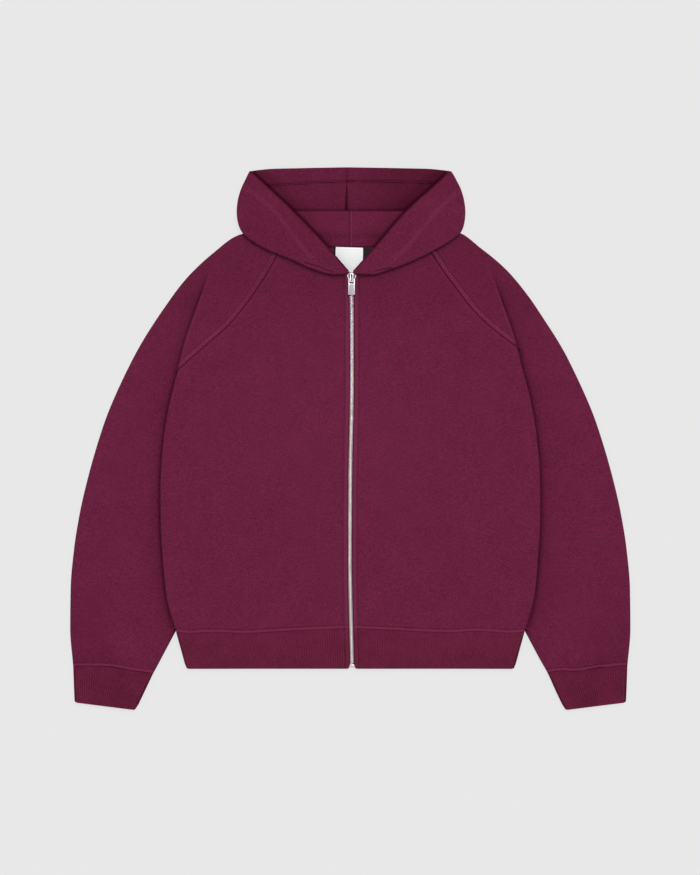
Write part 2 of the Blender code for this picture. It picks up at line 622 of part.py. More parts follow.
def hood_grid(side, flap_columns=5, fold_columns=5, under_columns=7):
    """Middle of half the hood: from the opening's edge over the flap, round, and in to its seam.

    Rows up to the shoulder stop at the neck seam, so the second grid marks the faces to keep.
    """
    shares = np.linspace(0.0, 1.0, under_columns + 1)[1:]
    rows = []
    for end_x, end_y, fold_share, opening_share in HOOD_FRONT_ROWS:
        row = hood_flap(side, fold_share, opening_share, flap_columns, fold_columns)
        start, end = np.array(row[-1]), np.array([end_x, end_y, float(hood_bottom(side, end_x, end_y))])
        rows.append(row + [start + (end - start) * share for share in shares] + [end] * len(HOOD_SEAM_X))
    fade, flat, down = FOLD_FADE
    for seam_y, level, fold_share, opening_share, parting in hood_back_rows():
        row = hood_flap(side, fold_share, opening_share, flap_columns, fold_columns)
        start = row[-1]
        seam_z = GROUND + LAYER_STEP * level
        for x in [start[0] + (SHOULDER_X - start[0]) * share for share in shares] + [*HOOD_SEAM_X]:
            go_y = float(smooth((x - fade) / (flat - fade)))
            go_z = float(smooth((x - flat) / (down - flat)))
            y, z = seam_y + (start[1] - seam_y) * go_y, seam_z + (start[2] - seam_z) * go_z
            z += parting * LAYER_STEP * go_y * (1 - go_z)
            if level < 1.0 and seam_y < NECK_FOLD_Y - 0.03:
                top = GROUND + 2 * LAYER_STEP
                z = seam_z + (top - seam_z) * float(smooth((x - 0.045) / 0.045))
                z = z + (start[2] - z) * go_z
            if seam_y == HOOD_TOP["y"][0]:
                y = float(np.interp(x, HOOD_TOP["x"], HOOD_TOP["y"]))
            row.append([x, y, z])
        rows.append(row)
    grid = np.array(rows)
    grid[..., 0] *= SIDES[side]
    kept = np.ones((grid.shape[0] - 1, grid.shape[1] - 1), bool)
    kept[: len(HOOD_FRONT_ROWS), -len(HOOD_SEAM_X):] = False
    return grid, kept


def quads_of(rows, columns, closed=False, kept=None):
    """Corners of the grid's faces, each a (row, column) pair."""
    return [
        ((row, column), (row + 1, column), (row + 1, (column + 1) % columns), (row, (column + 1) % columns))
        for row in range(rows - 1)
        for column in range(columns if closed else columns - 1)
        if kept is None or kept[row, column]
    ]


def normals(grid, quads):
    """Unit direction square to the grid's surface at each point."""
    square = np.zeros_like(grid)
    for a, b, c, d in quads:
        way = np.cross(grid[c] - grid[a], grid[d] - grid[b])
        way = way / np.linalg.norm(way)
        for corner in (a, b, c, d):
            square[corner] += way
    length = np.linalg.norm(square, axis=-1, keepdims=True)
    return square / np.where(length > 0, length, 1.0)


def cloth(name, grid, thickness, material, facing=None, kept=None):
    """A closed solid: the grid given half its thickness on each side.

    facing gives a column's own normals, so that the cut edges of two pieces stay apart. kept marks
    the grid's faces that there are.
    """
    quads = quads_of(*grid.shape[:2], kept=kept)
    square = normals(grid, quads)
    for column, given in (facing or {}).items():
        way = np.sign(np.sum(square[:, column] * given, axis=1))
        square[:, column] = given * way[:, None]

    used = {}
    for quad in quads:
        for corner in quad:
            used.setdefault(corner, len(used))
    first = [grid[corner] + square[corner] * thickness / 2 for corner in used]
    second = [grid[corner] - square[corner] * thickness / 2 for corner in used]
    triangles = []
    for a, b, c, d in quads:
        outwards = abs(grid[a][0]) > abs(grid[d][0])
        if (grid[a][0] < 0) == outwards:
            triangles += [(a, b, c), (a, c, d)]
        else:
            triangles += [(a, b, d), (b, c, d)]
    faces, edges = [], set()
    for triangle in triangles:
        one, two, three = (used[corner] for corner in triangle)
        faces.append((one, two, three))
        faces.append((three + len(used), two + len(used), one + len(used)))
        edges.update(((one, two), (two, three), (three, one)))
    for one, two in sorted(edges):
        if (two, one) not in edges:
            faces.append((two, one, one + len(used), two + len(used)))
    return solid(name, first + second, faces, material)


def ribbed(name, grid, thickness, material, height, plain, closed=False):
    """A closed solid with ribs on its outer side; its plain inner side has only the columns in plain."""
    rows, columns = grid.shape[:2]
    square = normals(grid, quads_of(rows, columns, closed))
    if square[0, 1, 2] < 0:
        square = -square
    outer = grid + square * (thickness / 2 + height[None, :, None])
    inner = (grid - square * thickness / 2)[:, plain]
    points = np.concatenate([outer.reshape(-1, 3), inner.reshape(-1, 3)])
    below = rows * columns

    def inside(row, place):
        return below + row * len(plain) + place % len(plain)

    faces = []
    for a, b, c, d in quads_of(rows, columns, closed):
        faces.append([row * columns + column for row, column in (a, b, c, d)])
    for a, b, c, d in quads_of(rows, len(plain), closed):
        faces.append([inside(*corner) for corner in (d, c, b, a)])
    for place in range(len(plain) if closed else len(plain) - 1):
        low, high = plain[place], plain[(place + 1) % len(plain)]
        span = range(low, high + 1) if high > low else [*range(low, columns), *range(high + 1)]
        for row in (0, rows - 1):
            faces.append([row * columns + column for column in span] + [inside(row, place + 1), inside(row, place)])
    if not closed:
        for column, place in ((0, 0), (columns - 1, len(plain) - 1)):
            for row in range(rows - 1):
                faces.append([row * columns + column, (row + 1) * columns + column,
                              inside(row + 1, place), inside(row, place)])
    return solid(name, points, faces, material)


def tape_grid(side, rows=12):
    """Middle of one side's zip tape; at its top it passes beside the slider's post."""
    grid = []
    for y in np.linspace(TAPE["bottom"], TAPE["top"], rows):
        inner = 0.0003 + 0.0022 * float(smooth((y - 0.2540) / 0.0060))
        row = []
        for x in (inner, (inner + TAPE["outer"]) / 2, TAPE["outer"]):
            x = float(zip_line(y)) + SIDES[side] * x
            row.append([x, y, TAPE["z"] + float(neck_rise(x, y))])
        grid.append(row)
    return np.array(grid)


def chain_grid(rows=24):
    """Middle of the closed chain."""
    grid = []
    for y in np.linspace(CHAIN["bottom"], CHAIN["top"], rows):
        x = float(zip_line(y))
        z = CHAIN["z"] + float(neck_rise(x, y))
        grid.append([[x - CHAIN["half"], y, z], [x + CHAIN["half"], y, z]])
    return np.array(grid)


def label_grid(corners, z):
    first, second, third, fourth = (np.array([*corner, z]) for corner in corners)
    middle_top, middle_low = (first + second) / 2, (fourth + third) / 2
    return np.array([[first, middle_top, second], [fourth, middle_low, third]])


def prism(name, outline, low, high, axis, material=None):
    """A flat outline of (first, second) places, extruded along axis from low to high."""
    spots = {"X": lambda u, v, w: (w, u, v), "Z": lambda u, v, w: (u, v, w)}[axis]
    shape = bmesh.new()
    face = shape.faces.new([shape.verts.new(spots(u, v, low)) for u, v in outline])
    extruded = bmesh.ops.extrude_face_region(shape, geom=[face])["geom"]
    moved = [item for item in extruded if isinstance(item, bmesh.types.BMVert)]
    bmesh.ops.translate(shape, verts=moved, vec=spots(0.0, 0.0, high - low))
    bmesh.ops.recalc_face_normals(shape, faces=shape.faces)
    mesh = bpy.data.meshes.new(name)
    shape.to_mesh(mesh)
    shape.free()
    if material:
        mesh.materials.append(material)
    item = bpy.data.objects.new(name, mesh)
    bpy.context.scene.collection.objects.link(item)
    return item


def combine(item, tool, operation):
    """Add a Boolean modifier, and hide the tool that it uses."""
    tool.hide_render = True
    tool.display_type = "WIRE"
    step = item.modifiers.new(tool.name, "BOOLEAN")
    step.operation = operation
    step.object = tool


def mirrored(outline):
    """A closed outline from its +X half, listed from top to bottom."""
    return [*outline, *[(-x, y) for x, y in reversed(outline)]]


def rectangle(x, y):
    return [(x[0], y[0]), (x[1], y[0]), (x[1], y[1]), (x[0], y[1])]


def slider(material):
    """Two plates on a post, and over the upper plate the bridge that holds the tab."""
    plate = mirrored(SLIDER["plate"])
    item = prism("zip_slider", plate, *SLIDER["lower plate z"], "Z", material)
    combine(item, prism("upper_plate", plate, *SLIDER["upper plate z"], "Z"), "UNION")
    post_z = (SLIDER["lower plate z"][1] - 0.0005, SLIDER["upper plate z"][0] + 0.0005)
    half = SLIDER["post half width"]
    combine(item, prism("post", rectangle((-half, half), SLIDER["post y"]), *post_z, "Z"), "UNION")
    half = SLIDER["bridge half width"]
    combine(item, prism("bridge", SLIDER["bridge profile"], -half, half, "X"), "UNION")
    item.location.x = ZIP_TOP_X
    for step in item.modifiers:
        step.object.parent = item
    return item


def pull_tab(material):
    """The tab, with its origin on the crossbar that it turns round."""
    y, z = PULL["hinge"]
    half = PULL["thickness"] / 2
    outline = [(across, along_y - y) for across, along_y in mirrored(PULL["outline"])]
    item = prism("zip_pull", outline, -half, half, "Z", material)
    hole = rectangle(PULL["hole x"], [edge - y for edge in PULL["hole y"]])
    combine(item, prism("pull_hole", hole, -2 * half, 2 * half, "Z"), "DIFFERENCE")
    item.location = (ZIP_TOP_X, y, z)
    item.modifiers[0].object.parent = item
    return item


def solid(name, points, faces, material):
    """An object from points and faces, with its faces turned outwards."""
    mesh = bpy.data.meshes.new(name)
    mesh.from_pydata([tuple(p) for p in points], [], faces)
    shape = bmesh.new()
    shape.from_mesh(mesh)
    bmesh.ops.recalc_face_normals(shape, faces=shape.faces)
    shape.to_mesh(mesh)
    shape.free()
    mesh.shade_smooth()
    mesh.set_sharp_from_angle(angle=math.radians(45))
    mesh.materials.append(material)
    item = bpy.data.objects.new(name, mesh)
    bpy.context.scene.collection.objects.link(item)
    return item


def material(name, colour, roughness, metallic=0.0):
    made = bpy.data.materials.new(name)
    made.use_nodes = True
    shader = made.node_tree.nodes["Principled BSDF"]
    shader.inputs["Base Color"].default_value = (*colour, 1.0)
    shader.inputs["Roughness"].default_value = roughness
    shader.inputs["Metallic"].default_value = metallic
    return made


def main():
    for item in list(bpy.data.objects):
        bpy.data.objects.remove(item)
    fleece = material("fleece", (0.133, 0.017, 0.050), 0.95)
    rib = material("rib", (0.120, 0.015, 0.042), 0.95)
    tape = material("tape", (0.060, 0.010, 0.022), 0.8)
    white = material("white_label", (0.85, 0.85, 0.84), 0.7)
    black = material("black_label", (0.02, 0.02, 0.02), 0.8)
    metal = material("metal", (0.60, 0.59, 0.60), 0.35, 1.0)

    grid, facing = back_grid()
    cloth("back", grid, FLEECE, fleece, facing=facing)
    for side in SIDES:
        grid, facing = front_grid(side)
        cloth(f"front_{side}", grid, FLEECE, fleece, facing=facing)
        grid, facing = sleeve_grid(side)
        cloth(f"sleeve_{side}", grid, FLEECE, fleece, facing=facing)
        grid, height, plain = cuff_grid(side)
        ribbed(f"cuff_{side}", grid, RIB, rib, height, plain, closed=True)
        grid, kept = hood_grid(side)
        cloth(f"hood_{side}", grid, FLEECE, fleece, kept=kept)
        cloth(f"zip_tape_{side}", tape_grid(side), TAPE["thickness"], tape)
    grid, height, plain = hem_grid()
    ribbed("hem_band", grid, RIB, rib, height, plain)
    for name, look in (("neck_label", white), ("size_label", black)):
        label = LABELS[name]
        cloth(name, label_grid(label["corners"], label["z"]), label["thickness"], look)
    cloth("zip_chain", chain_grid(), CHAIN["thickness"], metal)
    stop = prism("zip_bottom_stop", rectangle(BOTTOM_STOP["x"], BOTTOM_STOP["y"]), *BOTTOM_STOP["z"], "Z", metal)
    bevel = stop.modifiers.new("rounded", "BEVEL")
    bevel.width, bevel.segments = 0.0006, 2
    slider(metal)
    pull_tab(metal)


main()
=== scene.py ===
"""Zip-up hooded sweatshirt laid flat on its back: its looks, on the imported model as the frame.

Metres, +Z up, the neck points to +Y and the zip runs along Y at X = 0. Left and right are the
wearer's, so the wearer's right side lies at -X. Each cloth piece is a fine grid on the middle of
its cloth, with the folds, seams and ribs moved into it, given its thickness on both sides.
"""

import math

import bmesh
import bpy
import numpy as np
from bpy.props import FloatProperty, FloatVectorProperty, PointerProperty
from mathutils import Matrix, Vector
from mathutils.bvhtree import BVHTree


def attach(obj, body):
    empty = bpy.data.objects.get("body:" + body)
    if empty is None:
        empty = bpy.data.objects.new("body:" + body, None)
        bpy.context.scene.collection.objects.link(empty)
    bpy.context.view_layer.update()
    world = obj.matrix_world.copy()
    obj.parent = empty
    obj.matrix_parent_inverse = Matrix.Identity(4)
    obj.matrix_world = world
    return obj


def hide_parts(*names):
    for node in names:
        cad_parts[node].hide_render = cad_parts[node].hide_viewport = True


bl_info = {
    "name": "Zip-up hoodie",
    "version": (1, 0, 0),
    "blender": (4, 5, 0),
    "location": "View3D > Sidebar > Hoodie",
    "description": "Builds a zip-up hooded sweatshirt laid flat, piece by piece",
    "category": "Object",
}

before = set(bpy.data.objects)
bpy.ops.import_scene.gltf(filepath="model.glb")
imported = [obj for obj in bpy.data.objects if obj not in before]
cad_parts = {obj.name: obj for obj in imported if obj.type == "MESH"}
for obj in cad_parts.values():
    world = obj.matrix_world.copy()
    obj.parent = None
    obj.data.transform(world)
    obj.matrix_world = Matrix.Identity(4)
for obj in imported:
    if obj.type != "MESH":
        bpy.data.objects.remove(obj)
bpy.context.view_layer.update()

# Cloth
FLEECE = 0.0024  # thickness of the brushed fleece
RIB = 0.003  # thickness of the doubled rib knit
WALE_PITCH = 0.004  # from one rib of the knit to the next
WALE_HEIGHT = 0.0004  # how far a rib stands up
SEAM_GAP = 0.0004  # air between two pieces where a seam joins them
LAYER_STEP = 0.0044  # from the middle of a lower layer to the middle of the one on it
FOLD_RADIUS = LAYER_STEP / 2
ROLL_LENGTH = (FOLD_RADIUS - SEAM_GAP / 2) * math.pi / 2
GROUND = FLEECE / 2  # height of the middle of a fleece layer that lies on the floor

# Body
HEM_SEAM_Y = -0.307
HEM_END_Y = -0.3668
HEM_RISE = 0.005  # how far the front's hem seam is drawn up at the zip
CENTRE_FRONT_NECK_Y = 0.267
ZIP_HALF_OPENING = 0.004  # from the zip's line to the folded edge of a front
SIDE_LIFT = 0.0074  # how far the body's sides are held up by the sleeve under them
LIFT_RAMP = 0.1  # width over which the cloth climbs onto the hidden sleeve
FRONT_FADE = 0.165  # length over which that lift dies away above the underarm, in front
BACK_FADE = 0.06
CREASE_WIDTH = 0.013  # width of the step from the shoulder cloth down to the hanging sleeve
NECK_RISE = 0.0042  # how much the front stands up at the top of the zip
NECK_RISE_SPREAD = 0.05

# Folded side of the body, and above the underarm the crease that it turns into
SIDE_EDGE = {
    "y": (-0.307, -0.29, -0.258, -0.18, -0.098, -0.008, 0.069, 0.112, 0.146, 0.184, 0.222, 0.261, 0.31),
    "x": (0.278, 0.285, 0.2925, 0.3005, 0.3036, 0.299, 0.2862, 0.2745, 0.266, 0.254, 0.2405, 0.227, 0.208),
}
# The zip's middle
ZIP_LINE = {
    "y": (-0.3668, -0.3536, -0.2896, -0.2192, -0.1296, -0.0176, 0.0304, 0.27),
    "x": (0.0028, 0.0026, 0.001, -0.0004, -0.0005, 0.0006, 0.0018, 0.002),
}
# Outer fold of a sleeve, from the neck to the cuff's seam
OUTER_EDGE = {
    "y": (-0.362, -0.304, -0.266, -0.214, -0.163, -0.112, -0.061, -0.01, 0.042, 0.093, 0.144, 0.195,
          0.246, 0.285, 0.31, 0.323, 0.3304, 0.3332, 0.3342),
    "x": (0.4432, 0.4478, 0.448, 0.4456, 0.44, 0.4312, 0.4192, 0.4048, 0.3872, 0.3648, 0.3392, 0.3072,
          0.2712, 0.2344, 0.2018, 0.1824, 0.1716, 0.148, 0.112),
}
# Inner fold of a sleeve, from just below the underarm to the cuff's seam; most of it lies under the body
INNER_EDGE = {
    "y": (-0.3736, -0.309, -0.243, -0.178, -0.114, -0.058, -0.002, 0.046, 0.082),
    "x": (0.3144, 0.28, 0.245, 0.213, 0.186, 0.174, 0.185, 0.212, 0.24),
}
# Front raglan seam of each side, from the underarm to the neck
RAGLAN_FRONT = {
    "right": {"x": (0.2742, 0.2552, 0.2274, 0.1944, 0.1685, 0.1442, 0.121, 0.108),
              "y": (0.1106, 0.128, 0.1522, 0.1818, 0.213, 0.2477, 0.287, 0.32)},
    "left": {"x": (0.2655, 0.2354, 0.211, 0.1902, 0.1694, 0.1486, 0.129, 0.108),
             "y": (0.147, 0.1696, 0.1904, 0.213, 0.2406, 0.2685, 0.298, 0.32)},
}
BACK_NECK_CORNER = (0.104, 0.321)
NECK_FRONT = {"x": (0.004, 0.02, 0.042, 0.07, 0.093, 0.108),
              "y": (0.267, 0.268, 0.273, 0.287, 0.3045, 0.32)}
NECK_BACK = {"x": (0.0, 0.03, 0.06, 0.104), "y": (0.309, 0.31, 0.313, 0.321)}

# Sleeve stations above the underarm: share of the raglan seam from the neck, and share of the
# outer edge between the neck and the underarm
RAGLAN_STATIONS = {
    "seam": (0.0, 0.1, 0.22, 0.36, 0.52, 0.68, 0.82, 0.92, 0.975),
    "outer": (0.0, 0.085, 0.19, 0.33, 0.5, 0.67, 0.83, 0.93, 0.985),
}
# Columns across half a body panel: of the flat part, the climb onto the sleeve, and the part on it
PANEL_COLUMNS = {"flat": 3, "climb": 4, "on sleeve": 2}
# Columns across a sleeve: from its inner edge to the crease, the crease, and out to the fold
SLEEVE_COLUMNS = {"inner": 2, "crease": 3, "outer": 3}
# Stations below it: heights on the inner and on the outer edge
INNER_STATIONS = {
    "inner": (0.082, 0.046, -0.002, -0.058, -0.114, -0.178, -0.243, -0.309, -0.3736),
    "outer": (0.072, 0.035, -0.012, -0.064, -0.116, -0.175, -0.238, -0.302, -0.362),
}

SIDES = {"right": -1.0, "left": 1.0}

# Labels at the back neck: corners, and the height of the middle of the cloth
LABELS = {
    "neck_label": {"corners": ((-0.0232, 0.3069), (0.0203, 0.3056), (0.0197, 0.2662), (-0.0242, 0.2674)),
                   "z": 0.0039, "thickness": 0.0008},
    "size_label": {"corners": ((-0.0264, 0.3066), (0.0352, 0.305), (0.035, 0.288), (-0.0268, 0.2896)),
                   "z": 0.003, "thickness": 0.0005},
}

# Zip
TAPE = {"outer": 0.015, "top": 0.264, "bottom": -0.3595, "z": 0.0034, "thickness": 0.0006}
CHAIN = {"top": 0.26, "bottom": -0.3595, "z": 0.0051, "thickness": 0.0022}
ZIP_TOP_X = 0.002  # X of the slider's middle
BOTTOM_STOP = {"x": (-0.0007, 0.0061), "y": (-0.3645, -0.36), "z": (0.0031, 0.0064)}
HINGE_Z = 0.014  # height of the pull tab's axis, which runs along X

# Hood: the fold round its outside and the opening's edge, each from the zip to the top corner
HOOD_FOLD = {
    "right": {"x": (0.01, 0.02, 0.0333, 0.05, 0.0749, 0.095, 0.1141, 0.1463, 0.1747, 0.1816, 0.1794,
                    0.1618),
              "y": (0.2625, 0.262, 0.263, 0.2668, 0.2773, 0.2862, 0.2939, 0.309, 0.3325, 0.3613, 0.3846,
                    0.4278)},
    "left": {"x": (0.01, 0.0378, 0.06, 0.0818, 0.105, 0.1283, 0.1582, 0.1765, 0.1837, 0.1804, 0.1626),
             "y": (0.263, 0.2621, 0.269, 0.2762, 0.2862, 0.2975, 0.315, 0.3296, 0.3565, 0.3888, 0.4276)},
}
HOOD_OPENING = {
    "right": {"x": (0.0018, 0.0357, 0.0909, 0.1325, 0.1565), "y": (0.2672, 0.3062, 0.3638, 0.404, 0.4262)},
    "left": {"x": (0.004, 0.0378, 0.088, 0.1325, 0.156), "y": (0.2672, 0.305, 0.3626, 0.404, 0.4258)},
}
HOOD_TOP = {"y": (0.4336, 0.4322, 0.43), "x": (0.0, 0.08, 0.14)}
NECK_FOLD_Y = 0.364  # where the part above the neck folds back under itself
CROWN_FOLD_Y = 0.342  # where the crown's part folds on the floor, out of sight
FOLD_FADE = (0.0985, 0.14, 0.168)  # X where the fold over the neck starts to end, is flat, and is down

# The hood's rows up to the shoulder: the sewn end, which lies on the body just above the neck
# seam, and the shares of the outside fold and of the opening's edge that the row reaches
HOOD_FRONT_ROWS = (
    # end x, end y, fold share, opening share
    (0.0085, 0.27, 0.0, 0.0),
    (0.016, 0.2705, 0.045, 0.045),
    (0.026, 0.272, 0.09, 0.095),
    (0.045, 0.2775, 0.18, 0.175),
    (0.07, 0.288, 0.27, 0.25),
    (0.088, 0.3, 0.37, 0.33),
    (0.097, 0.306, 0.455, 0.405),
)
# From there the rows reach the centre seam: Y and level in layers at the seam
HOOD_BACK_ROWS = (
    # seam y, level, fold share, opening share
    (0.3079, 0.65, 0.53, 0.47),
    (0.32, 0.95, 0.585, 0.52),
    (0.333, 2.0, 0.635, 0.565),
    (0.348, 2.0, 0.67, 0.6),
)
# After the two folds the crown lies on the floor
HOOD_CROWN_ROWS = (
    (0.362, 0.0, 0.83, 0.75),
    (0.385, 0.0, 0.89, 0.83),
    (0.41, 0.0, 0.945, 0.915),
    (0.4336, 0.0, 1.0, 1.0),
)
SHOULDER_X = 0.0985  # the neck seam's corner between front and back
HOOD_SEAM_X = (0.075, 0.05, 0.025, 0.0002)  # columns from there to the centre seam
FOLD_SHARES = (0.7, 0.8, 0.625, 0.72)  # of the outside fold, then of the opening's edge
HOOD_DROP = (0.345, 0.032)  # Y where the hood starts to come down from the body, and over which length
FLAP_DROP = (0.396, 0.028)  # Y by which the opening's edge has come down, and over which length
FLAP_END = 7.5  # column in the middle of the fold round the hood's outside

# Cuff corners, outer and inner, at its seam and at its end
CUFF = {"outer": ((0.443, -0.3625), (0.4408, -0.4208)), "inner": ((0.3148, -0.3741), (0.3429, -0.4331))}
HEM_BAND = {"y": (HEM_SEAM_Y, HEM_END_Y), "x": (0.278, 0.2625)}


def smooth(share):
    """0 below 0, 1 above 1, and an even curve between."""
    share = np.clip(share, 0.0, 1.0)
    return share * share * (3.0 - 2.0 * share)


def through(knots, values, at, slopes=None):
    """Values at the places in at, on a smooth curve through values at the rising knots."""
    knots, values = np.asarray(knots, float), np.asarray(values, float)
    if slopes is None:
        slopes = np.gradient(values, knots, axis=0)
    at = np.clip(np.asarray(at, float), knots[0], knots[-1])
    low = np.clip(np.searchsorted(knots, at, side="right") - 1, 0, len(knots) - 2)
    span = knots[low + 1] - knots[low]
    share = (at - knots[low]) / span
    if values.ndim > 1:
        span, share = (part.reshape((-1,) + (1,) * (values.ndim - 1)) for part in (span, share))
    return (
        (1 + 2 * share) * (1 - share) ** 2 * values[low]
        + share * (1 - share) ** 2 * span * slopes[low]
        + share**2 * (3 - 2 * share) * values[low + 1]
        + share**2 * (share - 1) * span * slopes[low + 1]
    )


def resampled(knots, values, at):
    """The same, with slopes that never carry the curve past its own points."""
    rise = np.diff(values, axis=0) / np.diff(knots).reshape((-1,) + (1,) * (values.ndim - 1))
    low, high = rise[:-1], rise[1:]
    same = low * high > 0
    inner = np.where(same, 2 * low * high / np.where(same, low + high, 1.0), 0.0)
    return through(knots, values, at, np.concatenate([rise[:1], inner, rise[-1:]]))


def distances(steps):
    """How far along a line each of its points lies, from the steps between them."""
    return np.concatenate([[0.0], np.cumsum(steps)])


def along(points, shares):
    """Points at these shares of the length of a smooth curve through points."""
    points = np.asarray(points, float)
    steps = np.linalg.norm(np.diff(points, axis=0), axis=1)
    knots = distances(steps) / steps.sum()
    return through(knots, points, shares)


def points_of(table):
    return np.column_stack([table["x"], table["y"]])


def side_edge(y):
    return through(SIDE_EDGE["y"], SIDE_EDGE["x"], y)


def outer_edge(y):
    return through(OUTER_EDGE["y"], OUTER_EDGE["x"], y)


def zip_line(y):
    """X of the zip's middle: it lies in one long shallow wave."""
    return through(ZIP_LINE["y"], ZIP_LINE["x"], y)


def zip_edge(sign, y):
    """How far out a front's folded edge lies on its side of X = 0."""
    return ZIP_HALF_OPENING + sign * float(zip_line(y))


def seam_points(side):
    """The front raglan seam of a side, from the neck to the underarm."""
    return points_of(RAGLAN_FRONT[side])[::-1]


def back_seam_points(side):
    """The back raglan seam: the front one, moved at its top to the back's neck corner."""
    points = seam_points(side).copy()
    share = np.linspace(1.0, 0.0, len(points))[:, None] ** 2
    return points + share * (np.array(BACK_NECK_CORNER) - points[0])


def underarm(side):
    return seam_points(side)[-1]


def seam_x(side, y):
    points = seam_points(side)[::-1]
    return through(points[:, 1], points[:, 0], y)


def hidden_edge(side, y):
    """X by which the body has climbed onto the sleeve: inside its inner fold, and the seam above it."""
    corner = underarm(side)
    knots = np.append(INNER_EDGE["y"], corner[1])
    below = through(knots, np.append(INNER_EDGE["x"], corner[0]), y)
    below = np.minimum(below - 0.008, side_edge(y) - 0.016)
    return np.where(y <= corner[1], below, seam_x(side, y) - 0.016)


def raised(side, x, y, fade):
    """Height that the hidden sleeve gives the body's cloth."""
    across = smooth((x - hidden_edge(side, y)) / LIFT_RAMP + 1.0)
    return SIDE_LIFT * across * (1.0 - smooth((y - underarm(side)[1]) / fade))


def neck_rise(x, y):
    away = np.hypot(x, (y - CENTRE_FRONT_NECK_Y) * 0.8) / NECK_RISE_SPREAD
    return NECK_RISE * np.exp(-0.5 * away**2)


def front_level(side, x, y):
    """Height of the middle of the front's cloth."""
    return GROUND + LAYER_STEP + raised(side, x, y, FRONT_FADE) + neck_rise(x, y)


def hem_rise(x, end):
    """How far the front's hem seam is drawn up: most at the zip, and nothing from the end outwards."""
    return np.interp(x, (0.0, end), (HEM_RISE, 0.0))


def back_level(side, x, y):
    return GROUND + raised(side, x, y, BACK_FADE)


def half_turn(count):
    """Angles round an outer fold, from the upper layer to the lower one."""
    return np.linspace(math.pi / 2, -math.pi / 2, count + 1)


def rolled_end(angle, count):
    """A strip ROLL_LENGTH long that bends by angle: steps outwards and down, from its flat end."""
    turn = np.linspace(0.0, 1.0, count + 1) * angle
    if angle < 0.02:
        return np.linspace(0.0, ROLL_LENGTH, count + 1), np.zeros(count + 1)
    radius = ROLL_LENGTH / angle
    return radius * np.sin(turn), radius * (1.0 - np.cos(turn))


def edge_clearance(angle):
    """From a piece's stated edge back to the middle of its cloth there."""
    return FLEECE / 2 * math.sin(angle) + SEAM_GAP / 2 * math.cos(angle)


def side_roll(side, y):
    """How far the side of a body panel has turned down at y: a quarter turn below the underarm."""
    return math.pi / 2 * float(smooth((underarm(side)[1] + 0.012 - y) / 0.024))


def patch(bottom, top, inner, outer, up, across):
    """A grid between four border curves, at shares up (inner to outer curves) and across (rows)."""
    up, across = up[:, None, None], across[None, :, None]
    blend = (1 - up) * bottom[None] + up * top[None] + (1 - across) * inner[:, None] + across * outer[:, None]
    corners = (
        (1 - up) * (1 - across) * bottom[0] + (1 - up) * across * bottom[-1]
        + up * (1 - across) * top[0] + up * across * top[-1]
    )
    return blend - corners


def panel_columns(side, start, end, y):
    """X of a panel's columns in the row at y, close together where the cloth climbs."""
    edge = min(float(hidden_edge(side, y)), end - 0.012)
    foot = edge - LIFT_RAMP
    parts = ((start, foot, "flat"), (foot, edge, "climb"), (edge, end, "on sleeve"))
    columns = [start]
    for low, high, part in parts:
        columns.extend(np.linspace(low, high, PANEL_COLUMNS[part] + 1)[1:])
    return np.array(columns)


def panel_plan(side, neck, seam, inner_x, lower_rows=10):
    """Plan of half a body panel up to where its outer edge starts to roll, and each row's roll."""
    corner = underarm(side)
    low_y = np.concatenate([
        np.linspace(HEM_SEAM_Y + SEAM_GAP / 2, corner[1] - 0.02, lower_rows - 2),
        [corner[1] - 0.008, corner[1]],
    ])
    rolls = [side_roll(side, y) for y in low_y]
    lower = []
    for y, angle in zip(low_y, rolls):
        out, _ = rolled_end(angle, 1)
        end = float(side_edge(y)) - edge_clearance(angle) - out[-1]
        columns = panel_columns(side, inner_x(y), end, y)
        lower.append(np.column_stack([columns, np.full(len(columns), y)]))
    lower = np.array(lower)

    rise = 1.0 - np.array([1.0, *RAGLAN_STATIONS["seam"][::-1]])
    outer = along(seam, 1.0 - rise)
    outer_rolls = [side_roll(side, y) for y in outer[:, 1]]
    ends = [edge_clearance(a) + rolled_end(a, 1)[0][-1] for a in outer_rolls]
    outer[:, 0] -= ends
    outer[0] = lower[-1, -1]
    centre_y = corner[1] + (neck[0][1] - corner[1]) * rise
    inner = np.array([[inner_x(y), y] for y in centre_y])
    bottom = lower[-1]
    share = (bottom[:, 0] - bottom[0, 0]) / (bottom[-1, 0] - bottom[0, 0])
    top_share = (neck[:, 0] - neck[0, 0]) / (neck[-1, 0] - neck[0, 0])
    top = np.column_stack([
        neck[0, 0] + (outer[-1, 0] - neck[0, 0]) * share,
        through(top_share, neck[:, 1], share),
    ])
    inner[-1], outer[-1] = top[0], top[-1]
    upper = patch(bottom, top, inner, outer, rise, share)
    return np.concatenate([lower, upper[1:]]), rolls + outer_rolls[1:]


def panel_grid(side, plan, rolls, level, turn, roll_columns=3):
    """Middle of a body panel: its plan on its level, with the outer edge rolled down or up.

    The second grid holds the way each row's outer end faces.
    """
    x, y = plan[..., 0], plan[..., 1]
    flat = np.stack([x, y, level(side, x, y)], axis=-1)
    strips, facing = [], []
    for row, angle in zip(flat, rolls):
        out, down = rolled_end(angle, roll_columns)
        end = row[-1]
        strips.append([[end[0] + o, end[1], end[2] + turn * d] for o, d in zip(out[1:], down[1:])])
        facing.append([math.sin(angle), 0.0, -turn * math.cos(angle)])
    return np.concatenate([flat, np.array(strips)], axis=1), np.array(facing)


